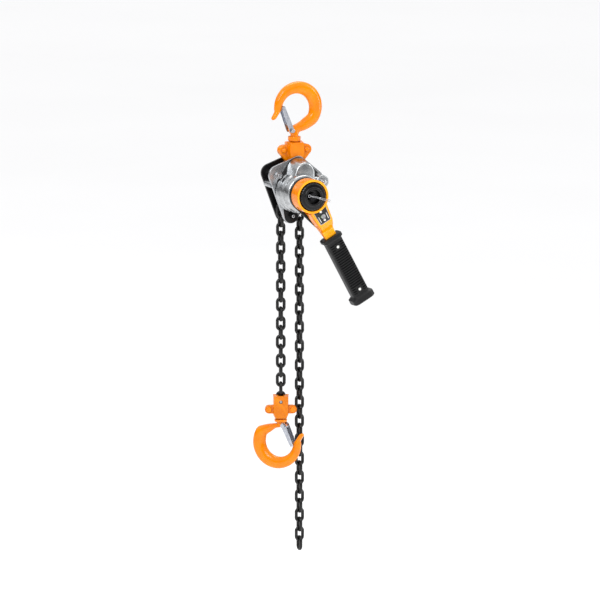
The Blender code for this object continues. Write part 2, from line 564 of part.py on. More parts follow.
def build_drive(frame, materials):
    """Sheave, gears, shaft, brake and hand knob, all on the drive axis or beside it."""
    steel, black, bronze = (materials[k] for k in ("steel", "black", "bronze"))
    sheave_axis = empty("sheave_axis", frame)
    slot_y = WIRE_R + 0.7
    slot_r = SHEAVE_PITCH_R - LINK_WIDTH / 2 - 2.2
    pocket_r = SHEAVE_PITCH_R - WIRE_R - 2.0
    shoulder_y = LINK_WIDTH / 2 + 0.6
    rim_r = SHEAVE_PITCH_R + 2.2
    edge_y = PLATE_IN - GAP
    bore_r = SHAFT_R + 0.4
    low_plane, high_plane = CASE_START + 2.4, CASE_START + 11.4      # the two planes of gears
    gear_t = 6.0
    profile = [
        (bore_r, -PLATE_OUT), (8.0, -PLATE_OUT), (8.0, -edge_y), (rim_r, -edge_y), (rim_r, -shoulder_y),
        (pocket_r, -shoulder_y), (pocket_r, -slot_y), (slot_r, -slot_y), (slot_r, slot_y), (pocket_r, slot_y),
        (pocket_r, shoulder_y), (rim_r, shoulder_y), (rim_r, edge_y), (8.0, edge_y), (8.0, low_plane - GAP),
        (6.0, low_plane - GAP), (6.0, low_plane + gear_t + 1.0), (bore_r, low_plane + gear_t + 1.0),
    ]
    solid("load_sheave", turned(profile, 14), steel, sheave_axis)
    gear = [gear_outline(LARGE_TEETH, LARGE_PITCH_R, IDLER_TURN), circle(6.0 + GAP, sides=14)]
    solid("load_gear", prism(gear, low_plane, low_plane + gear_t), steel, sheave_axis)

    for name, x, z, turn in IDLERS:
        axis = empty(f"idler_{name}_axis", frame, (x, 0.0, z))
        towards = turn + 180.0                           # a gap faces the drive axis
        small = gear_outline(SMALL_TEETH, SMALL_PITCH_R, towards + 180.0 / SMALL_TEETH)
        large = gear_outline(LARGE_TEETH, LARGE_PITCH_R, towards + 180.0 / LARGE_TEETH)
        journal = rod(SMALL_PITCH_R - 1.1 * GEAR_MODULE - 0.2, CASE_START + 0.2, CASE_END - 2.0 - GAP)
        idler = solid(f"idler_gear_{name}", journal, steel, axis)
        parts = [prism([small], low_plane, high_plane + 0.5), prism([large], high_plane, high_plane + gear_t - 1.0)]
        combine(idler, "UNION", parts)

    drive = empty("drive_shaft_axis", frame)
    knob_floor = LEVER_FRONT + 4.6
    shaft_end = knob_floor - 5.6
    profile = [
        (0.0, shaft_end), (SHAFT_R, shaft_end), (SHAFT_R, high_plane - 2.0), (SHAFT_R - 1.1, high_plane - 2.0),
        (SHAFT_R - 1.1, CASE_END - 2.0 - GAP), (0.0, CASE_END - 2.0 - GAP),
    ]
    shaft = solid("drive_shaft", turned(profile, 12), steel, drive)
    pinion = prism([gear_outline(SMALL_TEETH, SMALL_PITCH_R, IDLER_TURN)], high_plane - 0.5, high_plane + gear_t)
    combine(shaft, "UNION", [pinion])

    bore = SHAFT_R + 0.1
    sleeve_r = 6.0
    hub_y = FRONT_BACK - 3.5
    disc_t, wheel_t, flange_t = 2.0, 4.0, 3.0
    disc_in = hub_y - flange_t - GAP
    wheel_y = disc_in - disc_t - GAP
    disc_out = wheel_y - wheel_t - GAP
    change_y = disc_out - disc_t - GAP
    profile = [
        (bore, hub_y), (13.0, hub_y), (13.0, hub_y - flange_t), (sleeve_r, hub_y - flange_t),
        (sleeve_r, change_y + GAP), (bore, change_y + GAP),
    ]
    solid("brake_hub", turned(profile, 14), steel, drive)
    profile = [
        (bore, change_y), (12.5, change_y), (12.5, change_y - 4.0), (8.0, change_y - 4.0),
        (8.0, LEVER_BACK - 4.0), (bore, LEVER_BACK - 4.0),
    ]
    change = solid("change_gear", turned(profile, 14), steel, drive)
    teeth = [gear_outline(12, 9.5), circle(bore, sides=14)]
    combine(change, "UNION", [prism(teeth, LEVER_BACK - 9.5, LEVER_BACK - 3.0)])

    wheel_axis = empty("ratchet_axis", frame)
    steep = 256.0
    bore_loop = circle(sleeve_r + GAP, sides=14)
    wheel = prism([ratchet_outline(steep), bore_loop], wheel_y - wheel_t, wheel_y)
    solid("ratchet_wheel", wheel, steel, wheel_axis)
    for name, y in (("friction_disc_inner", disc_in), ("friction_disc_outer", disc_out)):
        solid(name, ring(sleeve_r + GAP, 12.5, y - disc_t, y), bronze, wheel_axis)

    pawl_at = (-13.0, -12.6)
    pin_low, pin_high = disc_out - disc_t, FRONT_BACK - 0.2
    solid("pawl_pin", rod(1.5, pin_low, pin_high, pawl_at, 12), steel, frame)
    solid("pawl_spring", ring(1.8, 2.8, wheel_y + 1.0, wheel_y + 5.0, pawl_at, 12), materials["spring"], frame)
    pawl_axis = empty("pawl_axis", frame, (pawl_at[0], 0.0, pawl_at[1]))
    tip_turn = math.radians(steep - 6.0)
    tip = (13.3 * math.cos(tip_turn) - pawl_at[0], 13.3 * math.sin(tip_turn) - pawl_at[1])
    pawl = [hull(circle(2.7, sides=14) + circle(0.8, tip, 8)), circle(1.5 + GAP, sides=12)]
    solid("brake_pawl", prism(pawl, wheel_y - wheel_t + 0.4, wheel_y - 0.4), steel, pawl_axis)

    front = LEVER_FRONT - 3.2
    profile = [
        (bore, LEVER_BACK - 12.3), (13.0, LEVER_BACK - 12.3), (KNOB_R, LEVER_BACK - 14.5), (KNOB_R, front + 2.6),
        (KNOB_R - 1.6, front + 1.2), (12.4, front + 1.0), (11.6, front), (9.6, front), (9.0, front + 0.8),
        (9.0, knob_floor), (bore, knob_floor),
    ]
    solid("hand_knob", turned(profile, 20), black, drive)
    nut = [circle(5.6, (0, 0), 6), circle(bore, sides=12)]
    solid("knob_nut", prism(nut, knob_floor - 4.6, knob_floor - GAP), steel, drive)
    pin_y = shaft_end - 1.1
    wire_r = 0.8
    clear = front - wire_r - 0.4
    route = [(-5.2, pin_y, 0.6), (3.0, pin_y, 0.2), (7.0, pin_y - 0.8, -1.0), (10.0, clear, -1.8), (22.6, clear, -5.0)]
    stations = [(p, (0.0, wire_r, 0.0), (0.0, 0.0, wire_r)) for p in route]
    solid("split_pin", loft(stations, 6), steel, drive)


def label_outline(grow):
    """Selector plate on the lever's arm: its top edge follows the knob."""
    edge = KNOB_R + 2.2 - grow
    notch = [(edge * math.sin(t), -edge * math.cos(t)) for t in (math.radians(a) for a in (-28, -14, 0, 14, 28))]
    notch[0] = (notch[0][0] - grow, notch[0][1])
    notch[-1] = (notch[-1][0] + grow, notch[-1][1])
    return notch + [(7.4 + grow, -37.6 - grow), (-7.4 - grow, -37.6 - grow)]


def build_lever(frame, materials):
    """Lever covers, selector and grip; the lever hangs along -Z of its own guide."""
    orange, black, plate = (materials[k] for k in ("orange", "rubber", "label"))
    lever = empty("lever_axis", frame, turn=(0.0, LEVER_ANGLE - FRAME_TILT, 0.0))
    arm_front = LEVER_FRONT + 1.2
    tang_front = LEVER_FRONT + 8.0
    tang_back = tang_front + TANG_DEPTH
    grip_end_wall = 6.0
    cover = solid("lever_front_cover", rod(LEVER_RING_R, LEVER_FRONT, LEVER_BACK, sides=24), orange, lever)

    def across(drop, front, back, half):
        return ((0.0, (front + back) / 2, -drop), (half * math.sqrt(2), 0.0, 0.0), (0.0, (back - front) / math.sqrt(2), 0.0))

    arm = [
        across(10.0, arm_front, LEVER_BACK, 14.0), across(39.0, arm_front, LEVER_BACK, 10.8),
        across(51.0, tang_front, LEVER_BACK - 1.0, 8.6), across(58.0, tang_front, tang_back, TANG_WIDTH / 2),
        across(LEVER_LENGTH - grip_end_wall - 1.0, tang_front, tang_back, TANG_WIDTH / 2),
    ]
    combine(cover, "UNION", [loft(arm, 4)])
    pivot_drop = 29.0
    cuts = [
        rod(KNOB_R + 0.8, LEVER_FRONT - 1.0, LEVER_BACK + 1.0, sides=22),
        rod(LEVER_RING_R - 2.0, LEVER_FRONT + 2.0, LEVER_BACK + 1.0, sides=22),
        box((-8.6, arm_front + 2.0, -37.0), (8.6, LEVER_BACK + 1.0, -12.0)),
        rod(3.0 + GAP, arm_front - 1.0, arm_front + 3.0, (0.0, -pivot_drop), 12),
        prism([label_outline(0.5)], LEVER_FRONT - 1.0, arm_front),
    ]
    combine(cover, "DIFFERENCE", cuts)
    back_plate = [hull_of([(0.0, 0.0, LEVER_RING_R + 0.5), (0.0, -43.0, 8.4)], 20), circle(9.5, sides=14)]
    solid("lever_rear_cover", prism(back_plate, LEVER_REAR_Y - LEVER_REAR_T, LEVER_REAR_Y), materials["black"], lever)

    label = [label_outline(0.0), circle(3.0 + GAP, (0.0, -pivot_drop), 12)]
    solid("selector_plate", prism(label, arm_front - 1.0, arm_front - 0.2), plate, lever)

    selector = empty("selector_axis", lever, (0.0, 0.0, -pivot_drop))
    paw_back = LEVER_BACK - 4.0
    pawl = solid("selector_pawl", rod(3.0, arm_front - 2.2, LEVER_BACK - GAP, sides=14), materials["steel"], selector)
    fork = hull_of([(0.0, 0.0, 4.6), (-3.4, 13.0, 1.4), (3.4, 13.0, 1.4)], 12)
    combine(pawl, "UNION", [prism([fork], paw_back - 4.0, paw_back)])

    def grip_at(drop, half_width, half_depth):
        middle = (tang_front + tang_back) / 2
        return ((0.0, middle, -drop), (half_width * 1.04, 0.0, 0.0), (0.0, half_depth * 1.04, 0.0))

    half_w, half_d = GRIP_WIDTH / 2, GRIP_DEPTH / 2
    sections = [
        (GRIP_START, 13.0, half_d - 0.2), (GRIP_START + 1.0, 14.0, half_d + 0.8), (GRIP_START + 4.5, 14.0, half_d + 0.8),
        (GRIP_START + 6.0, half_w, half_d), (LEVER_LENGTH - 10.0, half_w, half_d), (LEVER_LENGTH - 7.5, 15.5, half_d + 2.5),
        (LEVER_LENGTH - 1.5, 15.5, half_d + 2.5), (LEVER_LENGTH, 14.0, half_d + 1.2),
    ]
    grip = solid("lever_grip", loft([grip_at(*s) for s in sections], 16, 0.45), black, lever)
    room = TANG_WIDTH / 2 + GAP
    slot = box((-room, tang_front - GAP, -(LEVER_LENGTH - grip_end_wall)), (room, tang_back + GAP, -GRIP_START + 2.0))
    combine(grip, "DIFFERENCE", [slot])


def build_chain(frame, materials):
    """The chain over the sheave and the two strands that hang under it, down to the lower hook."""
    chain = materials["chain"]
    upright = empty("sheave_upright", frame, turn=(0.0, -FRAME_TILT, 0.0))
    joints = sheave_joints()
    shapes = []
    for i, (one, two) in enumerate(zip(joints, joints[1:])):
        along = (two - one).normalized()
        across = Vector((0, 1, 0)) if i % 2 else along.cross(Vector((0, 1, 0)))
        shapes.append(link((one + two) / 2, along, across))
    combine(solid("chain_over_sheave", shapes[0], chain, upright), "UNION", shapes[1:])

    total = sum(LOAD_LINKS)
    yaw_step = BLOCK_YAW / total
    z = -FIRST_LINK_DROP + DRIVE_Z
    yaw, count_done, parent, base = 0.0, 0, upright, Vector((DRIVE_X, 0.0, DRIVE_Z))
    for name, count in zip(("load_chain_upper", "load_chain_lower"), LOAD_LINKS):
        hinge = Vector((LOAD_X, 0.0, z - LINK_HALF))
        parent = empty(f"{name}_axis", parent, hinge - base)
        base = hinge
        open_first = count_done % 2 == 1
        z -= HINGE_STEP
        strand(name, LOAD_X, z, count, open_first, yaw + yaw_step, yaw_step, chain, parent, base)
        z -= CHAIN_PITCH * (count - 1)
        yaw += yaw_step * count
        count_done += count
    load_end = (parent, base, z)

    z = DRIVE_Z + (joints[-1].z + joints[-2].z) / 2
    parent, base, count_done = upright, Vector((DRIVE_X, 0.0, DRIVE_Z)), 0
    for name, count in zip(("free_chain_upper", "free_chain_lower"), FREE_LINKS):
        hinge = Vector((FREE_X, 0.0, z - LINK_HALF))
        parent = empty(f"{name}_axis", parent, hinge - base)
        base = hinge
        z -= HINGE_STEP
        strand(name, FREE_X, z, count, count_done % 2 == 1, 0.0, 0.0, chain, parent, base)
        z -= CHAIN_PITCH * (count - 1)
        count_done += count
    return load_end


def build_lower_end(load_end, materials):
    """Lower block, chain pin, bolts, hook and latch."""
    orange, zinc, spring_steel, steel = (materials[k] for k in ("orange", "zinc", "spring", "steel"))
    parent, base, last_z = load_end
    pin_z = last_z - LINK_HALF + WIRE_R + CHAIN_PIN_R + GAP
    block = empty("lower_block_axis", parent, Vector((LOAD_X, 0.0, pin_z)) - base, (0.0, 0.0, BLOCK_YAW))
    top, bottom = 9.0, -22.3
    depth = 9.0
    ear_z = -10.1
    body = hull([(-BLOCK_HALF, top), (BLOCK_HALF, top), (-BLOCK_HALF, -17.0), (BLOCK_HALF, -17.0), (-7.5, bottom), (7.5, bottom)])
    ears = hull_of([(-BLOCK_BOLT_X, ear_z, 5.0), (BLOCK_BOLT_X, ear_z, 5.0)], 12)
    for name, side in (("lower_block_front", -1.0), ("lower_block_rear", 1.0)):
        seam = side * 0.2
        half = solid(name, prism([body], seam, side * depth, draft=0.9, draft_centre=(0.0, -7.0)), orange, block)
        combine(half, "UNION", [prism([ears], seam, side * 4.4)])
        cuts = [
            box((-8.2, -2.9, -7.2), (8.2, 2.9, top + 1.0)),
            box((-3.4, -7.4, 0.6), (3.4, 7.4, top + 1.0)),
            rod(7.2, -19.4, -9.6, axis="Z", sides=12),
            rod(SHANK_R, bottom - 1.0, -18.8, axis="Z", sides=16),
            rod(CHAIN_PIN_R + 0.4, -depth - 1.0, depth + 1.0, sides=12),
            rod(2.0 + GAP, -6.0, 6.0, (-BLOCK_BOLT_X, ear_z), 12),
            rod(2.0 + GAP, -6.0, 6.0, (BLOCK_BOLT_X, ear_z), 12),
        ]
        combine(half, "DIFFERENCE", cuts)
    solid("chain_pin", rod(CHAIN_PIN_R, -7.4, 7.4, sides=12), steel, block)
    for side, x in (("left", -BLOCK_BOLT_X), ("right", BLOCK_BOLT_X)):
        head = 4.4 + GAP
        profile = [
            (0.0, -head - 2.2), (3.4, -head - 2.2), (3.8, -head), (2.0, -head),
            (2.0, head), (3.8, head), (3.8, head + 2.6), (0.0, head + 2.6),
        ]
        solid(f"lower_block_bolt_{side}", turned(profile, 12, centre=(x, ear_z)), orange, block)

    seat_drop = bottom - GAP - LOWER_COLLAR - LOWER_NECK
    swivel = empty("lower_hook_axis", block, (0.0, 0.0, seat_drop), (0.0, 0.0, HOOK_YAW - BLOCK_YAW))
    hook = empty("lower_hook_turned", swivel, turn=(0.0, 180.0, 0.0))
    neck_end = LOWER_NECK + LOWER_COLLAR
    lower = solid("lower_hook", hook_shape(LOWER_NECK, LOWER_COLLAR, neck_end + 8.0), orange, hook)
    head_low = neck_end + GAP + 3.2
    combine(lower, "UNION", [rod(6.8, -head_low - 8.6, -head_low, sides=12, axis="Z")])
    pivot = latch_parts("lower", hook, LOWER_NECK, zinc, spring_steel)
    combine(lower, "DIFFERENCE", [rod(LATCH_PIN_R + GAP, -7.0, 7.0, pivot, 10)])


def build():
    for item in list(bpy.data.objects):
        bpy.data.objects.remove(item, do_unlink=True)
    materials = {
        "orange": finish("hook_orange", (0.90, 0.26, 0.01), 0.28),
        "zinc": finish("zinc_plate", (0.62, 0.64, 0.68), 0.3, 1.0),
        "spring": finish("spring_steel", (0.35, 0.35, 0.36), 0.35, 1.0),
        "steel": finish("bright_steel", (0.55, 0.55, 0.56), 0.3, 1.0),
        "plate": finish("nickel_plate", (0.70, 0.70, 0.71), 0.25, 1.0),
        "black": finish("black_paint", (0.02, 0.02, 0.022), 0.35),
        "alloy": finish("polished_alloy", (0.75, 0.75, 0.76), 0.22, 1.0),
        "bronze": finish("bronze", (0.45, 0.28, 0.10), 0.4, 1.0),
        "rubber": finish("grip_rubber", (0.015, 0.015, 0.016), 0.6),
        "label": finish("black_label", (0.01, 0.01, 0.012), 0.3),
        "chain": finish("black_chain", (0.015, 0.014, 0.014), 0.38, 0.6),
    }
    yoke = build_hook_end(materials)
    frame = build_frame(yoke, materials)
    build_drive(frame, materials)
    build_lever(frame, materials)
    load_end = build_chain(frame, materials)
    build_lower_end(load_end, materials)
    bpy.context.view_layer.update()


build()
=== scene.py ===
"""Looks of a small lever chain hoist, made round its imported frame.

New pieces are computed surfaces. Lengths in the shape functions are millimetres in the row frame.
"""

import json
import math

import bmesh
import bpy
import numpy as np
from mathutils import Matrix, Vector


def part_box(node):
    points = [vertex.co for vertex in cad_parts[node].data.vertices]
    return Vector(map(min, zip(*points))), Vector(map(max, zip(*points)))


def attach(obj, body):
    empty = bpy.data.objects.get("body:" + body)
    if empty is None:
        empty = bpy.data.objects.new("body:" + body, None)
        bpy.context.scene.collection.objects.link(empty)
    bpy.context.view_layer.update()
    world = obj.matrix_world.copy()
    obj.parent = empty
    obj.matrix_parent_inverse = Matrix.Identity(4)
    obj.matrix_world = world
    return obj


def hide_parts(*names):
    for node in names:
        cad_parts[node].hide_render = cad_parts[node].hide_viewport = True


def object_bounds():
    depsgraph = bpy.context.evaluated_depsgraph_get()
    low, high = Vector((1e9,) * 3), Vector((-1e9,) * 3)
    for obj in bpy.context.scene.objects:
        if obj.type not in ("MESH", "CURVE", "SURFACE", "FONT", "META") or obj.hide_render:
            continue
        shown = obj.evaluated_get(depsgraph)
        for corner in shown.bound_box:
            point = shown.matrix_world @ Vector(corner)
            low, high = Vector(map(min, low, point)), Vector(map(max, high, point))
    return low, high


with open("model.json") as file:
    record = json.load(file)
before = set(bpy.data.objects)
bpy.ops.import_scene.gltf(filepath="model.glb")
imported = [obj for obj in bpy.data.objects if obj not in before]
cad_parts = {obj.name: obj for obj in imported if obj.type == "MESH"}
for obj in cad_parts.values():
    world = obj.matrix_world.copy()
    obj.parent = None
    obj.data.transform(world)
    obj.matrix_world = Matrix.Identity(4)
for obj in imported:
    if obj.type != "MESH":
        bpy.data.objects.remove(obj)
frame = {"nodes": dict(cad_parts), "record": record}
cad_low, cad_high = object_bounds()

MM = 0.001
JOINT = {joint["name"]: joint for joint in frame["record"]["behaviour"]["joints"]}
SLOT_OF = {row["node"]: row["material_slot"] for row in frame["record"]["subparts"]}


def joint_at(name):
    """Place of a joint in millimetres."""
    return np.array(JOINT[name]["pos_m"], float) / MM


DRIVE = joint_at("drive_turn")
SUSPENSION = joint_at("frame_pivot")
LOAD_X = joint_at("load_chain_upper_bend")[0]
FREE_X = joint_at("free_chain_upper_bend")[0]
LOWER_SEAT = np.array(frame["record"]["mounts"][1]["pos_m"], float) / MM
FRAME_TILT = math.degrees(math.atan2(SUSPENSION[0] - DRIVE[0], SUSPENSION[2] - DRIVE[2]))
SELECTOR = joint_at("selector_flip")
LEVER_TILT = -math.degrees(math.atan2(SELECTOR[0] - DRIVE[0], DRIVE[2] - SELECTOR[2]))
SHANK_X = joint_at("yoke_swivel")[0]
HOOK_YAW = -48.0
PLATE_IN, PLATE_OUT = 9.5, 12.5
LEVER_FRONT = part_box("lever_front_cover")[0].y / MM
LEVER_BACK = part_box("lever_front_cover")[1].y / MM
COVER_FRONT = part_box("brake_cover")[0].y / MM
COVER_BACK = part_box("brake_cover")[1].y / MM
CASE_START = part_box("gear_case")[0].y / MM
KNOB_R = 17.6
RING_R = 21.5
LINK_HALF = 7.8
WIRE_R = 2.0
CROWN_R = 4.4
LINK_PITCH = 12.0
LINKS_OVER_SHEAVE = 13
SHEAVE_PATH_R = 12.9       # middle of the chain as it lies on the sheave
SHEAVE_PATH_START = -55.2  # upper end of the load strand, measured along the path
FIRST_LINK_DROP = 11.3     # from a strand's hinge to the low end of its first link
GRIP_START, GRIP_END = 60.0, 155.0
GRIP_RIVETS = (75.0, 138.0)


# ---------------------------------------------------------------- colour and finish
def linear(code):
    """sRGB hex to linear colour: c/12.92 near black, otherwise ((c + 0.055) / 1.055) ** 2.4."""
    parts = [int(code[i:i + 2], 16) / 255 for i in (0, 2, 4)]
    return tuple(c / 12.92 if c <= 0.04045 else ((c + 0.055) / 1.055) ** 2.4 for c in parts) + (1.0,)


def add(tree, kind, settings=None, **inputs):
    """Adds a node; settings are its properties, inputs are values or sockets by name or number."""
    node = tree.nodes.new(kind)
    for key, value in (settings or {}).items():
        setattr(node, key, value)
    for key, value in inputs.items():
        socket = node.inputs[int(key[1:])] if key[1:].isdigit() else node.inputs[key.replace("_", " ")]
        if isinstance(value, bpy.types.NodeSocket):
            tree.links.new(value, socket)
        else:
            socket.default_value = value
    return node


def finish(name, low, high, metallic, rough, patch_mm, grain_mm, bump_mm, stretch=(1, 1, 1), worn=None, coat=0.0,
           shine=0.5):
    """A surface whose colour drifts between two tones over patch_mm, with grain of grain_mm in gloss and relief.

    rough is the lowest and highest roughness, stretch draws the grain out along an axis, worn is the
    tone that shows on sharp edges, and shine scales the mirror part of a painted or moulded surface.
    """
    material = bpy.data.materials.new(name)
    material.use_nodes = True
    tree = material.node_tree
    shader = tree.nodes["Principled BSDF"]
    place = add(tree, "ShaderNodeTexCoord").outputs["Object"]
    drawn = add(tree, "ShaderNodeMapping", Vector=place, Scale=stretch).outputs[0]
    patches = add(tree, "ShaderNodeTexNoise", Vector=place, Scale=1 / (patch_mm * MM), Detail=3.0, Roughness=0.6)
    grain = add(tree, "ShaderNodeTexNoise", Vector=drawn, Scale=1 / (grain_mm * MM), Detail=4.0, Roughness=0.65)
    tone = add(tree, "ShaderNodeValToRGB", Fac=patches.outputs["Fac"])
    tone.color_ramp.elements[0].position = 0.32
    tone.color_ramp.elements[0].color = linear(low)
    tone.color_ramp.elements[1].position = 0.68
    tone.color_ramp.elements[1].color = linear(high)
    colour = tone.outputs["Color"]
    if worn:
        edge = add(tree, "ShaderNodeNewGeometry").outputs["Pointiness"]
        mask = add(tree, "ShaderNodeMapRange", Value=edge, i1=0.54, i2=0.62, i3=0.0, i4=0.55).outputs[0]
        broken = add(tree, "ShaderNodeMath", {"operation": "MULTIPLY"}, i0=mask, i1=grain.outputs["Fac"]).outputs[0]
        colour = add(tree, "ShaderNodeMix", {"data_type": "RGBA"}, i0=broken, i6=colour, i7=linear(worn)).outputs[2]
    tree.links.new(colour, shader.inputs["Base Color"])
    gloss = add(tree, "ShaderNodeMapRange", Value=grain.outputs["Fac"], i1=0.25, i2=0.75, i3=rough[0], i4=rough[1])
    tree.links.new(gloss.outputs[0], shader.inputs["Roughness"])
    relief = add(tree, "ShaderNodeBump", Height=grain.outputs["Fac"], Strength=0.35, Distance=bump_mm * MM)
    tree.links.new(relief.outputs[0], shader.inputs["Normal"])
    shader.inputs["Metallic"].default_value = metallic
    shader.inputs["Coat Weight"].default_value = coat
    shader.inputs["Coat Roughness"].default_value = 0.06
    shader.inputs["Specular IOR Level"].default_value = shine
    return material


FINISH = {
    # Baked enamel on forged steel: deep orange with a wet gloss, slight orange peel.
    "hook_orange": finish("baked_orange_enamel", "DC7600", "EA8600", 0.0, (0.10, 0.20), 16, 1.3, 0.02,
                          worn="8E3C00", coat=0.2, shine=0.2),
    # Bright zinc on pressed sheet: bluish white metal with a faint spangle.
    "zinc_plate": finish("bright_zinc_sheet", "A6A9B2", "C8CBD2", 1.0, (0.18, 0.30), 5, 0.8, 0.005),
    # Drawn spring wire: fine marks along the wire.
    "spring_steel": finish("drawn_spring_wire", "8C8C8C", "A8A8A8", 1.0, (0.28, 0.42), 3, 0.4, 0.02),
    # Machined and plated steel: turning marks round the part.
    "bright_steel": finish("machined_plated_steel", "98999B", "BBBCBE", 1.0, (0.20, 0.34), 4, 0.5, 0.004, (1, 6, 1)),
    # Nickelled side plate: near mirror with a soft haze.
    "nickel_plate": finish("nickelled_plate", "97999C", "B6B8BA", 1.0, (0.22, 0.34), 9, 1.0, 0.004),
    # Black paint on pressed steel: semi-gloss with grey rubbed edges.
    "black_paint": finish("black_stove_paint", "070708", "0D0D0E", 0.0, (0.24, 0.38), 9, 0.9, 0.02,
                          worn="2E2E30", shine=0.3),
    # Die-cast aluminium, polished: bright, with shallow ripples from casting.
    "polished_alloy": finish("polished_cast_aluminium", "97999B", "BCBEBF", 1.0, (0.20, 0.32), 8, 1.6, 0.008),
    # Plain bronze bush.
    "bronze": finish("bearing_bronze", "8A6234", "A87B45", 1.0, (0.30, 0.45), 4, 0.7, 0.03),
    # Moulded rubber: matt black, fine texture of the mould.
    "grip_rubber": finish("moulded_grip_rubber", "070708", "0E0E0F", 0.0, (0.34, 0.50), 8, 0.5, 0.03,
                          worn="1C1C1E", shine=0.3),
    # Moulded nylon of the hand knob: semi-gloss black.
    "black_plastic": finish("moulded_black_nylon", "050505", "09090A", 0.0, (0.16, 0.28), 7, 0.6, 0.02,
                             worn="262628", shine=0.35),
    # Printed plate: smooth black ink under varnish.
    "black_label": finish("varnished_black_plate", "0B0B0D", "131316", 0.0, (0.14, 0.24), 6, 0.6, 0.01, coat=0.4),
    # Blackened and oiled chain: dark, a little glossy, with paler crowns where links rub.
    "black_chain": finish("blackened_oiled_chain", "060606", "0D0C0B", 0.0, (0.22, 0.36), 4, 0.6, 0.02,
                          worn="24211F", shine=0.35),
}
# Lighter copy of the orange enamel for faces that look along -Y: painted light on the lit front of the lever.
LIT_FRONT_ORANGE = finish("painted_lit_front_orange", "EE9A00", "F8AC04", 0.0, (0.20, 0.30), 14, 1.3, 0.02,
                     worn="B85E00", coat=0.25, shine=0.3)
WHITE_RIVET = finish("pale_rivet_head", "D4D4D0", "ECECE8", 0.2, (0.28, 0.42), 3, 0.5, 0.02)
GREEN_BOSS = finish("green_tinted_boss", "5C8A3C", "86AE58", 0.1, (0.24, 0.40), 3, 0.5, 0.02)
# Shaft end and the front face of its nut drawn nearly black, so the knob's centre reads dark; a little glossy.
DARK_STEEL = finish("near_black_shaft_steel", "151517", "222225", 0.7, (0.28, 0.42), 4, 0.5, 0.01)
# Near black and rough: painted shade for the gap under the brake cover's edge.
PAINTED_GAP_SHADE = finish("painted_gap_shade_ring", "0B0B0C", "141415", 0.0, (0.45, 0.62), 5, 0.6, 0.03)


# ---------------------------------------------------------------- meshes
def skin(rows, capped=True, looped=False):
    """Quads between neighbouring rows of points; looped joins the last row to the first, capped closes both ends."""
    count, around = rows.shape[:2]
    i, j = np.meshgrid(np.arange(count if looped else count - 1), np.arange(around), indexing="ij")
    k, n = (j + 1) % around, (i + 1) % count
    faces = np.stack([i * around + j, i * around + k, n * around + k, n * around + j], -1).reshape(-1, 4).tolist()
    points = rows.reshape(-1, 3)
    if capped:
        size = len(points)
        j = np.arange(around)
        k = (j + 1) % around
        faces += np.stack([np.full(around, size), k, j], -1).tolist()
        last = (count - 1) * around
        faces += np.stack([np.full(around, size + 1), last + j, last + k], -1).tolist()
        points = np.vstack([points, rows[0].mean(0), rows[-1].mean(0)])
    return points, faces


def piece(name, skins, body, replaced, slot, material=None, sharp=38, front=None):
    """One object from several closed skins in millimetres; its faces are turned outwards.

    front is a second material for the faces that look along -Y.
    """
    points, faces = [], []
    for part, polygons in skins:
        start = sum(len(p) for p in points)
        points.append(part)
        faces += [[v + start for v in polygon] for polygon in polygons]
    mesh = bpy.data.meshes.new(name)
    mesh.from_pydata((np.vstack(points) * MM).tolist(), [], faces)
    shape = bmesh.new()
    shape.from_mesh(mesh)
    bmesh.ops.remove_doubles(shape, verts=shape.verts, dist=1e-6)
    bmesh.ops.dissolve_degenerate(shape, edges=shape.edges, dist=1e-7)
    bmesh.ops.recalc_face_normals(shape, faces=shape.faces)
    shape.to_mesh(mesh)
    shape.free()
    mesh.shade_smooth()
    mesh.set_sharp_from_angle(angle=math.radians(sharp))
    made = bpy.data.objects.new(name, mesh)
    bpy.context.scene.collection.objects.link(made)
    mesh.materials.append(material or FINISH[slot])
    if front:
        mesh.materials.append(front)
        normals = np.empty(len(mesh.polygons) * 3)
        mesh.polygons.foreach_get("normal", normals)
        mesh.polygons.foreach_set("material_index", (normals[1::3] < -0.75).astype(int))
    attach(made, body)
    if replaced:
        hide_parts(*replaced)
    return made


def rounded_copy(node, body, width, angle=42, material=None):
    """A CAD node's own shape with its edges rounded to width millimetres."""
    mesh = frame["nodes"][node].data.copy()
    shape = bmesh.new()
    shape.from_mesh(mesh)
    bmesh.ops.remove_doubles(shape, verts=shape.verts, dist=2e-6)
    bmesh.ops.dissolve_limit(shape, angle_limit=math.radians(2), verts=shape.verts, edges=shape.edges)
    shape.to_mesh(mesh)
    shape.free()
    mesh.materials.clear()
    mesh.materials.append(material or FINISH[SLOT_OF[node]])
    mesh.shade_smooth()
    mesh.set_sharp_from_angle(angle=math.radians(40))
    made = bpy.data.objects.new(f"{node}_rounded", mesh)
    bpy.context.scene.collection.objects.link(made)
    bevel = made.modifiers.new("rounded_edges", "BEVEL")
    bevel.width = width * MM
    bevel.segments = 3
    bevel.limit_method = "ANGLE"
    bevel.angle_limit = math.radians(angle)
    bevel.harden_normals = True
    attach(made, body)
    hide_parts(node)
    return made


# ---------------------------------------------------------------- placing
def turned_about_y(points, degrees, origin):
    """x' = x cos a + z sin a, z' = z cos a - x sin a, then moved to the origin."""
    c, s = math.cos(math.radians(degrees)), math.sin(math.radians(degrees))
    x, y, z = points[..., 0], points[..., 1], points[..., 2]
    return np.stack([x * c + z * s, y, z * c - x * s], -1) + np.array(origin)


def on_frame(part):
    return turned_about_y(part[0], FRAME_TILT, (DRIVE[0], 0.0, DRIVE[2])), part[1]


def on_lever(part):
    return turned_about_y(part[0], LEVER_TILT, (DRIVE[0], 0.0, DRIVE[2])), part[1]


def round_shank(part):
    """A surface of revolution about Y, stood up on the axis of the hook's shank."""
    x, y, z = part[0].T
    return np.stack([x + SHANK_X, z, y], -1), part[1]


def on_lower_hook(part):
    """Upside down about Y, then turned by the hook's yaw about the strand."""
    x, y, z = -(part[0][:, 0] - SHANK_X), part[0][:, 1], -part[0][:, 2]
    c, s = math.cos(math.radians(HOOK_YAW)), math.sin(math.radians(HOOK_YAW))
    return np.stack([x * c - y * s + LOAD_X, x * s + y * c, z + LOWER_SEAT[2]], -1), part[1]


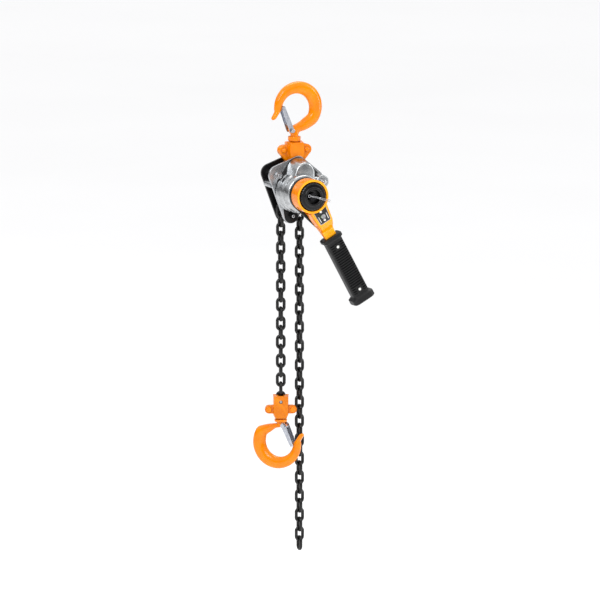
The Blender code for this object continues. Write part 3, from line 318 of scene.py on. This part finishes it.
# ---------------------------------------------------------------- shapes
def softened(profile, radius, closed=False, steps=5):
    """Each corner becomes a quadratic curve that starts and ends a radius away from it."""
    p = np.asarray(profile, float)
    rounded = []
    for i, corner in enumerate(p):
        if not closed and i in (0, len(p) - 1):
            rounded.append(corner[None])
            continue
        before, after = p[i - 1] - corner, p[(i + 1) % len(p)] - corner
        lb, la = np.linalg.norm(before), np.linalg.norm(after)
        a = corner + before / lb * min(radius, 0.45 * lb)
        b = corner + after / la * min(radius, 0.45 * la)
        t = np.linspace(0, 1, steps)[:, None]
        rounded.append((1 - t) ** 2 * a + 2 * t * (1 - t) * corner + t ** 2 * b)
    return np.vstack(rounded)


def revolved(profile, around=96, centre=(0.0, 0.0), bored=False, ripple=None):
    """Surface of revolution about Y: (r cos t, h, r sin t); ripple(t, h) is added to r."""
    profile = np.asarray(profile, float)
    t = np.arange(around) * math.tau / around
    r = np.repeat(profile[:, 0][:, None], around, 1)
    h = np.repeat(profile[:, 1][:, None], around, 1)
    if ripple:
        r = r + ripple(t[None, :], h) * (r > 1)
    rows = np.stack([centre[0] + r * np.cos(t), h, centre[1] + r * np.sin(t)], -1)
    return skin(rows, capped=False, looped=bored)


def belt(discs, count=160):
    """Outline of a belt round discs (u, v, r): in each direction the furthest rim point of any disc."""
    d = np.asarray(discs, float)
    t = np.arange(count) * math.tau / count
    out = np.stack([np.cos(t), np.sin(t)], -1)
    best = (out @ d[:, :2].T + d[:, 2]).argmax(1)
    return evened(d[best, :2] + out * d[best, 2:3], count)


def evened(outline, count):
    """The same closed outline with its points at equal steps of length."""
    loop = np.vstack([outline, outline[:1]])
    run = np.concatenate([[0], np.cumsum(np.linalg.norm(np.diff(loop, axis=0), axis=1))])
    at = np.linspace(0, run[-1], count, endpoint=False)
    return np.stack([np.interp(at, run, loop[:, 0]), np.interp(at, run, loop[:, 1])], -1)


def slab(outline, low, high, edge=0.6, draft=1.0, middle=(0.0, 0.0)):
    """An outline carried along Y; near both faces it draws in along its normal on a quarter circle."""
    o = np.asarray(outline, float)
    along = np.roll(o, -1, 0) - np.roll(o, 1, 0)
    normal = np.stack([along[:, 1], -along[:, 0]], -1)
    normal /= np.linalg.norm(normal, axis=1)[:, None]
    turn = np.linspace(0, math.pi / 2, 5)
    sign = 1 if high > low else -1
    depth = np.concatenate([low + sign * edge * (1 - np.cos(turn)), high - sign * edge * (1 - np.cos(turn[::-1]))])
    inset = np.concatenate([edge * (1 - np.sin(turn)), edge * (1 - np.sin(turn[::-1]))])
    scale = 1 + (draft - 1) * (depth - low) / (high - low)
    m = np.array(middle)
    flat = m + (o[None] - m) * scale[:, None, None] - normal[None] * inset[:, None, None]
    y = np.repeat(depth[:, None], len(o), 1)
    return skin(np.stack([flat[..., 0], y, flat[..., 1]], -1))


def hex_nut(centre, radius, low, high, turn=0.0):
    """Hexagon r = R cos 30 / cos(t mod 60 - 30), cut by a cone at both faces."""
    t = np.arange(96) * math.tau / 96
    six = (t - math.radians(turn)) % (math.pi / 3) - math.pi / 6
    hexagon = radius * math.cos(math.pi / 6) / np.cos(six)
    cone = [radius * k for k in (0.80, 0.90, 1.02, 1.02, 0.90, 0.80)]
    y = [low, low, low + (high - low) * 0.14, high - (high - low) * 0.14, high, high]
    rows = [np.stack([centre[0] + np.minimum(hexagon, c) * np.cos(t), np.full(96, h),
                      centre[1] + np.minimum(hexagon, c) * np.sin(t)], -1) for c, h in zip(cone, y)]
    return skin(np.array(rows))


def tube(path, radius, reference, around=12, looped=False):
    """A circle carried along a path: p + r (u cos t + v sin t), where u and v are square to the path."""
    p = np.asarray(path, float)
    along = np.roll(p, -1, 0) - np.roll(p, 1, 0) if looped else np.gradient(p, axis=0)
    along /= np.linalg.norm(along, axis=1)[:, None]
    u = np.cross(along, np.asarray(reference, float))
    u /= np.linalg.norm(u, axis=1)[:, None]
    v = np.cross(along, u)
    t = np.arange(around) * math.tau / around
    r = np.broadcast_to(radius, (len(p),))[:, None, None]
    rows = p[:, None] + r * (u[:, None] * np.cos(t)[None, :, None] + v[:, None] * np.sin(t)[None, :, None])
    return skin(rows, capped=not looped, looped=looped)


def coil(centre, low, high, radius, wire, turns):
    """Helix about Y: (R cos t, h, R sin t) with h rising evenly."""
    t = np.linspace(0, turns * math.tau, int(turns * 20))
    y = np.linspace(low + wire, high - wire, len(t))
    path = np.stack([centre[0] + radius * np.cos(t), y, centre[1] + radius * np.sin(t)], -1)
    return tube(path, wire, (0, 1, 0), 8)


def chain_link(centre, along, across):
    """Wire carried round a stadium: crown radius about a point that steps to each side of the centre."""
    t = (np.arange(28) + 0.5) * math.tau / 28
    reach = CROWN_R * np.sin(t) + np.sign(np.sin(t)) * (LINK_HALF - CROWN_R)
    along, across = np.asarray(along, float), np.asarray(across, float)
    path = np.asarray(centre, float) + across * (CROWN_R * np.cos(t))[:, None] + along * reach[:, None]
    return tube(path, WIRE_R, np.cross(along, across), 12, looped=True)


def smooth_through(values, steps):
    """Catmull-Rom curve through rows of values, with the ends repeated."""
    v = np.asarray(values, float)
    v = np.vstack([2 * v[0] - v[1], v, 2 * v[-1] - v[-2]])
    t = np.linspace(0, 1, steps, endpoint=False)[:, None]
    runs = []
    for a, b, c, d in zip(v, v[1:], v[2:], v[3:]):
        bend, twist = 2 * a - 5 * b + 4 * c - d, 3 * b - a - 3 * c + d
        runs.append(0.5 * (2 * b + (c - a) * t + bend * t ** 2 + twist * t ** 3))
    return np.vstack(runs + [v[-2][None]])


def squared_loft(stations, power, around=64):
    """Rings c + u sgn(cos t)|cos t|^p + v sgn(sin t)|sin t|^p; a low power squares the corners."""
    s = np.asarray(stations, float)
    t = (np.arange(around) + 0.5) * math.tau / around
    a = np.sign(np.cos(t)) * np.abs(np.cos(t)) ** power
    b = np.sign(np.sin(t)) * np.abs(np.sin(t)) ** power
    rows = s[:, None, :3] + s[:, None, 3:6] * a[None, :, None] + s[:, None, 6:9] * b[None, :, None]
    return skin(rows)


# ---------------------------------------------------------------- hooks
def hook_skins(neck, collar, tail):
    """Ovals from the tip round the bowl to the neck; the outer line is a circle set off from the bowl's."""
    bowl_r, back_r, half = 19.0, 32.6, 6.0
    off_x, off_z = 3.3, bowl_r - 17.3
    rows = [(-30.9, -31.7, -31.3, -31.7, 0.5), (-30.0, -31.5, -31.8, -31.6, 1.3)]
    rows += [(-29.0, -31.0, -32.4, -31.2, 2.2), (-27.3, -30.0, -33.0, -29.0, 3.2)]
    rows += [(-24.6, -26.0, -30.6, -25.0, 3.8), (-21.4, -21.6, -28.8, -21.2, 4.0)]
    for turn in np.radians([178, 164, 150, 136, 122, 109, 96, 84, 71, 58, 44, 30, 16, 2, -12, -25]):
        cx, cz = math.cos(turn), math.sin(turn)
        reach = cx * off_x + cz * off_z
        reach += math.sqrt(reach * reach - off_x ** 2 - off_z ** 2 + back_r ** 2)
        width = 4.2 + (half - 4.2) * min(1.0, (178 - math.degrees(turn)) / 80)
        rows.append((cx * bowl_r, cz * bowl_r - bowl_r, cx * reach, cz * reach - bowl_r, width))
    rows += [(10.8, -31.8, 28.0, -38.4, half - 0.3), (5.0, -35.9, 22.5, -42.2, half - 0.8)]
    rows += [(-2.0, -39.3, 15.0, -45.8, 5.0), (-8.6, -41.6, 9.0, -47.6, 4.3), (-10.0, -45.6, 5.4, -48.6, 4.3)]
    squeeze = (neck - 36.0) / (53.6 - 36.0)

    def drawn_in(z):
        return z if z > -36.0 else -36.0 + (z + 36.0) * squeeze

    rows = [(a, drawn_in(b), c, drawn_in(d), w) for a, b, c, d, w in rows]
    for drop in (neck - 2.4, neck - 0.6, neck + 1.0):
        rows.append((SHANK_X - 5.0, -drop, SHANK_X + 5.0, -drop, 5.0))
    s = smooth_through(rows, 5)
    middle = np.stack([(s[:, 0] + s[:, 2]) / 2, np.zeros(len(s)), (s[:, 1] + s[:, 3]) / 2], -1)
    reach = np.stack([(s[:, 2] - s[:, 0]) / 2, np.zeros(len(s)), (s[:, 3] - s[:, 1]) / 2], -1)
    side = np.zeros_like(reach)
    side[:, 1] = s[:, 4]
    body = squared_loft(np.hstack([middle, reach, side]), 0.92, 44)
    profile = softened([(0, -neck), (8.0, -neck), (8.0, -neck - collar), (0, -neck - collar)], 0.9)
    ring = round_shank(revolved(profile, 64))
    stem = round_shank(revolved([(0, -neck), (4.9, -neck), (4.9, -tail), (0, -tail)], 40))
    return [body, ring, stem]


top_drop = -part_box("top_hook")[0].z / MM
piece("forged_top_hook", hook_skins(53.6, 5.6, top_drop), "top_hook", ["top_hook"], "hook_orange")
lower_head = hook_skins(45.0, 3.3, 55.0)
cap_profile = softened([(0, -51.8), (6.7, -51.8), (6.7, -60.1), (0, -60.1)], 0.8)
lower_head.append(round_shank(revolved(cap_profile, 48)))
piece("forged_lower_hook", [on_lower_hook(s) for s in lower_head], "lower_hook", ["lower_hook"], "hook_orange")

for level, place, pivot in (("top", None, (-7.3, -45.6)), ("lower", on_lower_hook, (-7.3, -40.909))):
    body = f"{level}_latch"
    rounded_copy(f"{level}_latch", body, 0.25)
    rounded_copy(f"{level}_latch_pin", body, 0.25)
    spring = coil(pivot, -8.3, -6.2, 2.1, 0.36, 2.6)
    if place:
        spring = place(spring)
    piece(f"{level}_torsion_spring", [spring], body, [f"{level}_latch_spring"], "spring_steel")

for node in ("yoke_front", "yoke_rear"):
    rounded_copy(node, "yoke", 0.9, 30)
for side, x in (("left", -15.5), ("right", 15.5)):
    low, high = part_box(f"yoke_rivet_{side}")[0].y / MM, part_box(f"yoke_rivet_{side}")[1].y / MM
    centre = (SHANK_X + x, -70.5)
    head = [(0, low), (1.6, low + 0.15), (2.8, low + 0.8), (3.3, low + 1.6), (3.3, low + 2.0), (4.5, low + 2.1),
            (4.6, -4.0), (2.5, -4.0), (2.5, 4.0)]
    head += [(4.4, 4.0), (4.4, high - 0.4), (4.0, high), (0, high)]
    piece(f"domed_yoke_rivet_{side}", [revolved(head, 40, centre)], "yoke", [f"yoke_rivet_{side}"], "hook_orange")

# ---------------------------------------------------------------- side plates and stay bolts
STAYS = {"left": (-26.0, 17.5, 2.5), "right": (26.0, 17.5, 2.5), "bottom": (1.2, -31.0, 2.0)}
plate = belt([(-26.0, 17.5, 12.0), (26.0, 17.5, 12.0), (0.0, -31.0, 10.0), (0.0, 35.5, 9.0)], 200)
piece("nickelled_front_plate", [on_frame(slab(plate, -PLATE_OUT, -PLATE_IN, 0.5))], "frame",
      ["front_side_plate"], "nickel_plate")
piece("painted_rear_plate", [on_frame(slab(plate, PLATE_IN, PLATE_OUT, 0.5))], "frame",
      ["rear_side_plate"], "black_paint")
flange = belt([(-26.0, 17.5, 11.2), (26.0, 17.5, 11.2), (0.0, -31.0, 9.2), (0.0, 35.5, 8.2)], 160)
idlers = [(12 * math.cos(t), 12 * math.sin(t), 12.3) for t in map(math.radians, (105.0, 285.0))]
pan = belt(idlers + [(0.0, 0.0, 12.3)], 120)
case = [slab(flange, CASE_START, CASE_START + 2.0, 0.5), slab(pan, CASE_START + 0.5, CASE_START + 20.0, 2.0)]
piece("pressed_gear_case", [on_frame(s) for s in case], "frame", ["gear_case"], "black_paint")
for side, (x, z, radius) in STAYS.items():
    low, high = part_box(f"stay_nut_{side}")[0].y / MM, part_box(f"stay_nut_{side}")[1].y / MM
    nut = [hex_nut((x, z), radius * 1.8, low, high, 15.0)]
    washer = softened([(radius + 0.1, high - 0.05), (radius * 2.1, high - 0.05), (radius * 2.1, high + 0.25),
                       (radius + 0.1, high + 0.25)], 0.1, True)
    nut.append(revolved(washer, 48, (x, z), bored=True))
    slot = SLOT_OF[f"stay_nut_{side}"]
    piece(f"chamfered_nut_{side}", [on_frame(s) for s in nut], "frame", [f"stay_nut_{side}"], slot)
    first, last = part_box(f"stay_bolt_{side}")[0].y / MM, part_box(f"stay_bolt_{side}")[1].y / MM
    shoulder = radius + 1.5 if side != "bottom" else radius + 0.01
    bolt = [(0, first), (radius * 0.7, first), (radius, first + 0.5), (radius, -9.2), (shoulder, -9.2)]
    bolt += [(shoulder, 9.2), (radius, 9.2), (radius, CASE_START + 2.3)]
    head = hex_nut((x, z), radius * 1.8, CASE_START + 2.3, last, 15.0)
    bolt += [(0, CASE_START + 2.3)]
    piece(f"stay_bolt_{side}_turned", [on_frame(revolved(bolt, 40, (x, z))), on_frame(head)], "frame",
          [f"stay_bolt_{side}"], "bright_steel")
spacer = softened([(0, -9.2), (4.4, -9.2), (4.4, 9.2), (0, 9.2)], 0.6)
piece("turned_side_spacer", [on_frame(revolved(spacer, 48, (-29.2, 4.6)))], "frame", ["side_spacer"], "nickel_plate")
cheek = belt([(1.2, -31.0, 9.6), (-5.5, -19.0, 7.0), (-9.0, -11.0, 5.0)], 120)
piece("black_foot_cheek", [on_frame(slab(cheek, -PLATE_OUT + 0.1, -PLATE_OUT - 0.28, 0.15))], "frame", [],
      "black_paint")
rounded_copy("chain_guide", "frame", 0.4)
pin = softened([(0, -12.4), (4.0, -12.4), (4.0, 12.4), (0, 12.4)], 0.5)
piece("suspension_pin_ground", [on_frame(revolved(pin, 48, (0.0, 35.5)))], "frame", ["suspension_pin"], "bright_steel")


# ---------------------------------------------------------------- brake cover
barrel = softened([
    (0, COVER_BACK), (26.3, COVER_BACK), (26.3, COVER_BACK - 4.5), (24.9, COVER_BACK - 6.0),
    (24.9, COVER_BACK - 10.5), (26.0, COVER_BACK - 12.0), (25.6, COVER_BACK - 17.0), (24.2, COVER_BACK - 18.6),
    (24.2, COVER_BACK - 22.6), (25.2, COVER_BACK - 24.2), (24.4, COVER_FRONT + 2.2), (22.6, COVER_FRONT),
    (10.0, COVER_FRONT), (9.6, COVER_FRONT + 1.5), (0, COVER_FRONT + 1.5),
], 1.5)
cover = [revolved(barrel, 192)]
hump = belt([(0.0, 27.0, 16.0), (0.0, 4.0, 20.0)], 120)
cover.append(slab(hump, COVER_BACK, COVER_FRONT + 8.0, 2.4, 0.82, (0.0, 20.0)))
ear_web = belt([(26.0, 17.5, 6.5), (8.0, 8.0, 12.0)], 100)
cover.append(slab(ear_web, COVER_BACK, COVER_BACK - 22.2, 1.6))
ear = softened([(0, COVER_BACK), (8.5, COVER_BACK), (8.5, COVER_BACK - 22.4), (7.6, COVER_BACK - 23.0),
                (0, COVER_BACK - 23.0)], 0.6)
cover.append(revolved(ear, 56, (26.0, 17.5)))
piece("polished_brake_cover", [on_frame(s) for s in cover], "frame", ["brake_cover"], "polished_alloy")
# A thin black ring between plate and brake cover: painted shade of the gap under the cover's edge.
gap_shade_outline = belt([(0.0, 27.0, 16.2), (0.0, 2.0, 26.4), (26.0, 17.5, 8.7)], 140)
piece("painted_shade_cover_gap", [on_frame(slab(gap_shade_outline, COVER_BACK + 0.25, COVER_BACK - 0.7, 0.2))], "frame", [],
      "black_paint", PAINTED_GAP_SHADE)

# ---------------------------------------------------------------- knob, nut and split pin
knob_back, knob_front = LEVER_BACK - 14.5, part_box("hand_knob")[0].y / MM
floor_y = LEVER_FRONT + 4.6


def thumb_grooves(t, y):
    """Shallow grooves across the knob's rim, a power of a cosine of the angle."""
    rim = np.clip((y - knob_front - 1.0) / 1.5, 0, 1)
    return -0.5 * rim * (0.5 + 0.5 * np.cos(24 * t)) ** 3


knob = softened([
    (3.1, LEVER_BACK - 12.3), (13.0, LEVER_BACK - 12.3), (KNOB_R, knob_back), (KNOB_R, knob_front + 2.6),
    (KNOB_R - 1.6, knob_front + 1.2), (12.5, knob_front + 1.0), (11.7, knob_front), (9.7, knob_front),
    (9.0, knob_front + 0.9), (9.0, floor_y), (3.1, floor_y),
], 0.5, True)
piece("nylon_hand_knob", [on_frame(revolved(knob, 240, bored=True, ripple=thumb_grooves))], "drive", ["hand_knob"],
      "black_plastic")
nut = [hex_nut((0, 0), 5.6, floor_y - 4.6, floor_y - 0.3)]
nut.append(revolved(softened([(3.1, floor_y - 5.4), (4.5, floor_y - 5.4), (4.5, floor_y - 4.4), (3.1, floor_y - 4.4)],
                             0.2, True), 48, bored=True))
piece("castle_nut", [on_frame(s) for s in nut], "drive", ["knob_nut"], "bright_steel", DARK_STEEL)
pin_y = floor_y - 5.6 - 1.1
clear = knob_front - 1.2
route = [(-5.2, pin_y, 0.6), (-1.0, pin_y, 0.4), (3.0, pin_y, 0.2), (7.0, pin_y - 0.8, -0.4), (10.0, clear, -0.8)]
route += [(16.0, clear, -1.6), (22.4, clear, -2.4)]
path = smooth_through(route, 10)
legs = []
for shift in (-0.34, 0.34):
    line = path + np.array([0.0, 0.0, shift])
    line[:, 2] += shift * np.linspace(0, 2.0, len(line))
    legs.append(tube(line, 0.42, (0, 1, 0), 10))
t = np.linspace(0, math.tau, 24, endpoint=False)
eye = np.stack([-6.2 + 1.5 * np.cos(t), np.full(24, pin_y), 0.6 + 1.5 * np.sin(t)], -1)
legs.append(tube(eye, 0.42, (0, 1, 0), 10, looped=True))
piece("steel_split_pin", [on_frame(s) for s in legs], "drive", ["split_pin"], "bright_steel")

# ---------------------------------------------------------------- lever
ring_profile = softened([
    (18.5, LEVER_FRONT), (RING_R, LEVER_FRONT), (RING_R, LEVER_BACK), (19.6, LEVER_BACK), (19.6, LEVER_FRONT + 2.2),
    (18.5, LEVER_FRONT + 2.2),
], 0.7, True)
arm_front, tang_front = LEVER_FRONT + 1.2, LEVER_FRONT + 8.0
tang_back = tang_front + 7.0


def across(drop, front, back, half):
    """One section of the lever's arm as middle, half width and half depth."""
    return (0.0, (front + back) / 2, -drop, half, 0.0, 0.0, 0.0, (back - front) / 2, 0.0)


arm = smooth_through([
    across(18.9, arm_front, LEVER_BACK, 13.4), across(22.0, arm_front, LEVER_BACK, 12.8),
    across(31.0, arm_front, LEVER_BACK, 11.8), across(39.0, arm_front, LEVER_BACK, 10.8),
    across(45.0, arm_front + 2.6, LEVER_BACK - 0.4, 9.7), across(51.0, tang_front, LEVER_BACK - 1.0, 8.6),
    across(58.0, tang_front, tang_back, 8.0), across(61.0, tang_front, tang_back, 8.0),
], 6)
# The lever's faces that look along -Y take the lighter orange: painted light.
piece("enamelled_lever_shell", [on_lever(revolved(ring_profile, 128, bored=True)), on_lever(squared_loft(arm, 0.28))],
      "lever", ["lever_front_cover"], "hook_orange", front=LIT_FRONT_ORANGE)
rear = belt([(0.0, 0.0, 22.0), (0.0, -43.0, 8.4)], 140)
rear_low, rear_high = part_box("lever_rear_cover")[0].y / MM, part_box("lever_rear_cover")[1].y / MM
piece("lever_back_cover", [on_lever(slab(rear, rear_low, rear_high, 0.6))], "lever", ["lever_rear_cover"],
      "black_paint")


def label_outline(grow):
    """Trapezoid whose top edge is an arc round the knob, grown by a margin."""
    edge = KNOB_R + 2.2 - grow
    t = np.radians(np.linspace(-28, 28, 17))
    arc = np.stack([edge * np.sin(t), -edge * np.cos(t)], -1)
    arc[:, 0] += grow * np.sign(t)
    low = np.array([(7.4 + grow, -37.6 - grow), (-7.4 - grow, -37.6 - grow)])
    return evened(softened(np.vstack([arc, low]), 1.2, True, 4), 120)[::-1]


piece("label_border", [on_lever(slab(label_outline(0.35), arm_front + 0.1, arm_front - 0.35, 0.1))], "lever", [],
      "bright_steel")
piece("selector_label", [on_lever(slab(label_outline(-0.45), arm_front - 0.1, arm_front - 0.6, 0.12))], "lever",
      ["selector_plate"], "black_label")
face = arm_front - 0.6
studs = []
for drop in (22.6, 34.2):
    studs.append(revolved([(0, face - 0.9), (0.8, face - 0.8), (1.5, face - 0.3), (1.7, face + 0.2), (0, face + 0.2)],
                          32, (0.0, -drop)))
piece("label_rivets", [on_lever(s) for s in studs], "lever", [], "bright_steel", WHITE_RIVET)
bars = []
for sign in (-1, 1):
    slope = np.array([(sign * 5.4, -27.0), (sign * 6.3, -27.0), (sign * 5.9, -35.0), (sign * 5.0, -35.0)])
    bars.append(slab(evened(slope if sign > 0 else slope[::-1], 40)[::-1], face + 0.05, face - 0.12, 0.04))
piece("label_side_bars", [on_lever(s) for s in bars], "lever", [], "bright_steel", WHITE_RIVET)
t = np.arange(64) * math.tau / 64
boss = np.stack([3.3 * np.cos(t), -28.6 + 2.3 * np.sin(t)], -1)
piece("selector_boss", [on_lever(slab(boss, face + 0.2, face - 0.9, 0.4))], "lever", [], "bright_steel", GREEN_BOSS)


def grip_skin():
    """Squared tube; its faces sink 1.7 mm in slots across, one each 3.2 mm, in two columns with a strip between."""
    z0, z1 = GRIP_START, GRIP_END
    drop = np.concatenate([[z0], np.linspace(z0 + 0.15, z1 - 0.15, 380), [z1]])
    key = [z0, z0 + 1.0, z0 + 4.5, z0 + 6.0, z0 + 7.0, z1 - 10.0, z1 - 7.5, z1 - 1.5, z1]
    half_w = np.interp(drop, key, [13.0, 14.0, 14.0, 11.8, 11.5, 11.5, 15.5, 15.5, 14.0])
    half_d = np.interp(drop, key, [7.8, 8.8, 8.8, 8.1, 8.0, 8.0, 10.5, 10.5, 9.2])
    half_w[0] -= 0.6
    half_d[0] -= 0.6
    half_w[-1] -= 0.8
    half_d[-1] -= 0.8
    t = (np.arange(176) + 0.5) * math.tau / 176
    a = np.sign(np.cos(t)) * np.abs(np.cos(t)) ** 0.42
    b = np.sign(np.sin(t)) * np.abs(np.sin(t)) ** 0.42
    x = half_w[:, None] * a
    d = half_d[:, None] * b
    phase = (drop - (z0 + 9.0)) / 3.2
    inside = np.clip((drop - z0 - 10.0) / 0.5, 0, 1) * np.clip((z1 - 14.0 - drop) / 0.5, 0, 1)
    near_rivet = np.minimum(np.abs(drop - GRIP_RIVETS[0]), np.abs(drop - GRIP_RIVETS[1])) < 4.6
    across_slot = np.clip((0.5 - 0.5 * np.cos(math.tau * phase) - 0.45) / 0.12, 0, 1) * inside
    strip = np.where(near_rivet, 4.4, 1.3)[:, None]
    column = np.clip((np.abs(x) - strip) / 0.5, 0, 1) * np.clip((9.6 - np.abs(x)) / 0.5, 0, 1)
    sunk = 1.7 * across_slot[:, None] * column * (np.abs(b) > 0.5)
    middle = (tang_front + tang_back) / 2
    y = middle + d - np.sign(b) * sunk
    return skin(np.stack([x, y, np.repeat(-drop[:, None], len(t), 1)], -1))


piece("moulded_lever_grip", [on_lever(grip_skin())], "lever", ["lever_grip"], "grip_rubber")
grip_face = (tang_front + tang_back) / 2 - 8.0
wells, heads = [], []
for drop in GRIP_RIVETS:
    well = softened([(2.0, grip_face - 0.35), (3.5, grip_face - 0.35), (3.5, grip_face + 0.4), (2.0, grip_face + 0.4)],
                    0.25, True)
    wells.append(revolved(well, 40, (0.0, -drop), bored=True))
    heads.append(revolved([(0, grip_face - 0.3), (1.1, grip_face - 0.25), (1.8, grip_face), (1.9, grip_face + 0.3),
                           (0, grip_face + 0.3)], 36, (0.0, -drop)))
piece("grip_rivet_rims", [on_lever(s) for s in wells], "lever", [], "grip_rubber")
piece("grip_rivets", [on_lever(s) for s in heads], "lever", [], "bright_steel", WHITE_RIVET)


# ---------------------------------------------------------------- chain
def sheave_line(distance):
    """Up the load side, half round the sheave and down the free side."""
    arc = math.pi * SHEAVE_PATH_R
    if distance <= 0:
        return np.array([-SHEAVE_PATH_R, 0.0, distance])
    if distance >= arc:
        return np.array([SHEAVE_PATH_R, 0.0, arc - distance])
    turn = math.pi - distance / SHEAVE_PATH_R
    return np.array([SHEAVE_PATH_R * math.cos(turn), 0.0, SHEAVE_PATH_R * math.sin(turn)])


# Each link's end is found by halving: the straight distance between two ends is one pitch.
distance = SHEAVE_PATH_START
ends = [sheave_line(distance)]
for _ in range(LINKS_OVER_SHEAVE):
    low, high = distance + 0.9 * LINK_PITCH, distance + 1.4 * LINK_PITCH
    for _ in range(40):
        distance = (low + high) / 2
        if np.linalg.norm(sheave_line(distance) - ends[-1]) < LINK_PITCH:
            low = distance
        else:
            high = distance
    ends.append(sheave_line(distance))
over = []
for i, (one, two) in enumerate(zip(ends, ends[1:])):
    along = (two - one) / np.linalg.norm(two - one)
    side = np.array([0.0, 1.0, 0.0])
    over.append(chain_link(DRIVE + (one + two) / 2, along, side if i % 2 else np.cross(along, side)))
piece("chain_on_sheave", over, "frame", ["chain_over_sheave"], "black_chain")


def strand(name, x, first_hinge, count, open_first, yaw_first, yaw_step):
    """Straight links one pitch apart below a hinge, each square to the last."""
    links = []
    for i in range(count):
        yaw = math.radians(yaw_first + yaw_step * i + (0.0 if (i % 2 == 0) == open_first else 90.0))
        z = first_hinge + LINK_HALF - FIRST_LINK_DROP - LINK_PITCH * i
        links.append(chain_link((x, 0.0, z), (0, 0, 1), (math.cos(yaw), math.sin(yaw), 0)))
    piece(f"{name}_links", links, name, [name], "black_chain")


YAW_STEP = -23.0 / 18
strand("load_chain_upper", LOAD_X, joint_at("load_chain_upper_bend")[2], 10, False, YAW_STEP, YAW_STEP)
strand("load_chain_lower", LOAD_X, joint_at("load_chain_lower_bend")[2], 8, False, 11 * YAW_STEP, YAW_STEP)
strand("free_chain_upper", FREE_X, joint_at("free_chain_upper_bend")[2], 16, False, 0.0, 0.0)
strand("free_chain_lower", FREE_X, joint_at("free_chain_lower_bend")[2], 17, False, 0.0, 0.0)

# ---------------------------------------------------------------- lower block
for node in ("lower_block_front", "lower_block_rear"):
    rounded_copy(node, "lower_block", 0.9, 30)
for node in ("lower_block_bolt_left", "lower_block_bolt_right", "chain_pin"):
    rounded_copy(node, "lower_block", 0.3)

# ---------------------------------------------------------------- what stays of the CAD shapes
for node, shown in frame["nodes"].items():
    shown.data.materials.clear()
    shown.data.materials.append(DARK_STEEL if node == "drive_shaft" else FINISH[SLOT_OF[node]])


# ---------------------------------------------------------------- floor, light and camera
def stage_material():
    """Matt white paint, rolled: a faint tone drift over half a metre."""
    material = bpy.data.materials.new("rolled_white_floor")
    material.use_nodes = True
    tree = material.node_tree
    place = add(tree, "ShaderNodeTexCoord").outputs["Object"]
    drift = add(tree, "ShaderNodeTexNoise", Vector=place, Scale=2.0)
    tone = add(tree, "ShaderNodeValToRGB", Fac=drift.outputs["Fac"])
    tone.color_ramp.elements[0].color = linear("FAFAFA")
    tone.color_ramp.elements[1].color = linear("FFFFFF")
    tree.links.new(tone.outputs["Color"], tree.nodes["Principled BSDF"].inputs["Base Color"])
    tree.nodes["Principled BSDF"].inputs["Roughness"].default_value = 0.9
    return material


floor_mesh = bpy.data.meshes.new("studio_floor")
reach, level = 30.0, cad_low.z - 0.25
floor_mesh.from_pydata([(-reach, -reach, level), (reach, -reach, level), (reach, reach, level), (-reach, reach, level)],
                       [], [(0, 1, 2, 3)])
floor_mesh.materials.append(stage_material())
studio_floor = bpy.data.objects.new("studio_floor", floor_mesh)
bpy.context.scene.collection.objects.link(studio_floor)

world = bpy.data.worlds.new("white_studio")
bpy.context.scene.world = world
bpy.context.scene.view_settings.view_transform = "Standard"
world.use_nodes = True
sky = world.node_tree
height = add(sky, "ShaderNodeSeparateXYZ", Vector=add(sky, "ShaderNodeTexCoord").outputs["Generated"]).outputs["Z"]
glow = add(sky, "ShaderNodeValToRGB", Fac=height)
for spot, level in ((0.0, 0.10), (0.16, 0.12), (0.34, 0.75)):
    step = glow.color_ramp.elements[0] if spot == 0.0 else glow.color_ramp.elements.new(spot)
    step.color = (level, level, level * 1.02, 1.0)
glow.color_ramp.elements[-1].color = (1.0, 1.0, 1.0, 1.0)
sky.links.new(glow.outputs["Color"], sky.nodes["Background"].inputs["Color"])
sky.nodes["Background"].inputs["Strength"].default_value = 1.18


def softbox(name, place, aim, size, watts):
    light = bpy.data.lights.new(name, "AREA")
    light.shape = "RECTANGLE"
    light.size, light.size_y = size
    light.energy = watts
    lamp = bpy.data.objects.new(name, light)
    bpy.context.scene.collection.objects.link(lamp)
    lamp.location = place
    lamp.rotation_euler = (Vector(aim) - Vector(place)).to_track_quat("-Z", "Y").to_euler()


middle = (cad_low + cad_high) / 2
softbox("key_softbox", (-1.3, -1.7, 1.1), middle, (1.0, 1.4), 32)
softbox("side_softbox", (1.7, -1.1, 0.3), middle, (0.5, 1.6), 14)
softbox("top_softbox", (0.2, 0.5, 1.6), middle, (1.4, 1.0), 17)

AZIMUTH, ELEVATION = math.radians(-25), math.radians(9)
LENS, SENSOR, ACROSS = 500.0, 36.0, 0.750
right = Vector((math.cos(AZIMUTH), math.sin(AZIMUTH), 0))
back = Vector((math.sin(AZIMUTH) * math.cos(ELEVATION), -math.cos(AZIMUTH) * math.cos(ELEVATION), math.sin(ELEVATION)))
up = back.cross(right)
target = right * 0.0056 - up * 0.258
camera_data = bpy.data.cameras.new("studio_camera")
camera_data.lens, camera_data.sensor_width = LENS, SENSOR
camera = bpy.data.objects.new("studio_camera", camera_data)
bpy.context.scene.collection.objects.link(camera)
camera.location = target + back * (ACROSS * LENS / SENSOR)
camera.rotation_euler = Matrix((right, up, back)).transposed().to_euler()
camera_data.clip_end = 100.0
bpy.context.scene.camera = camera
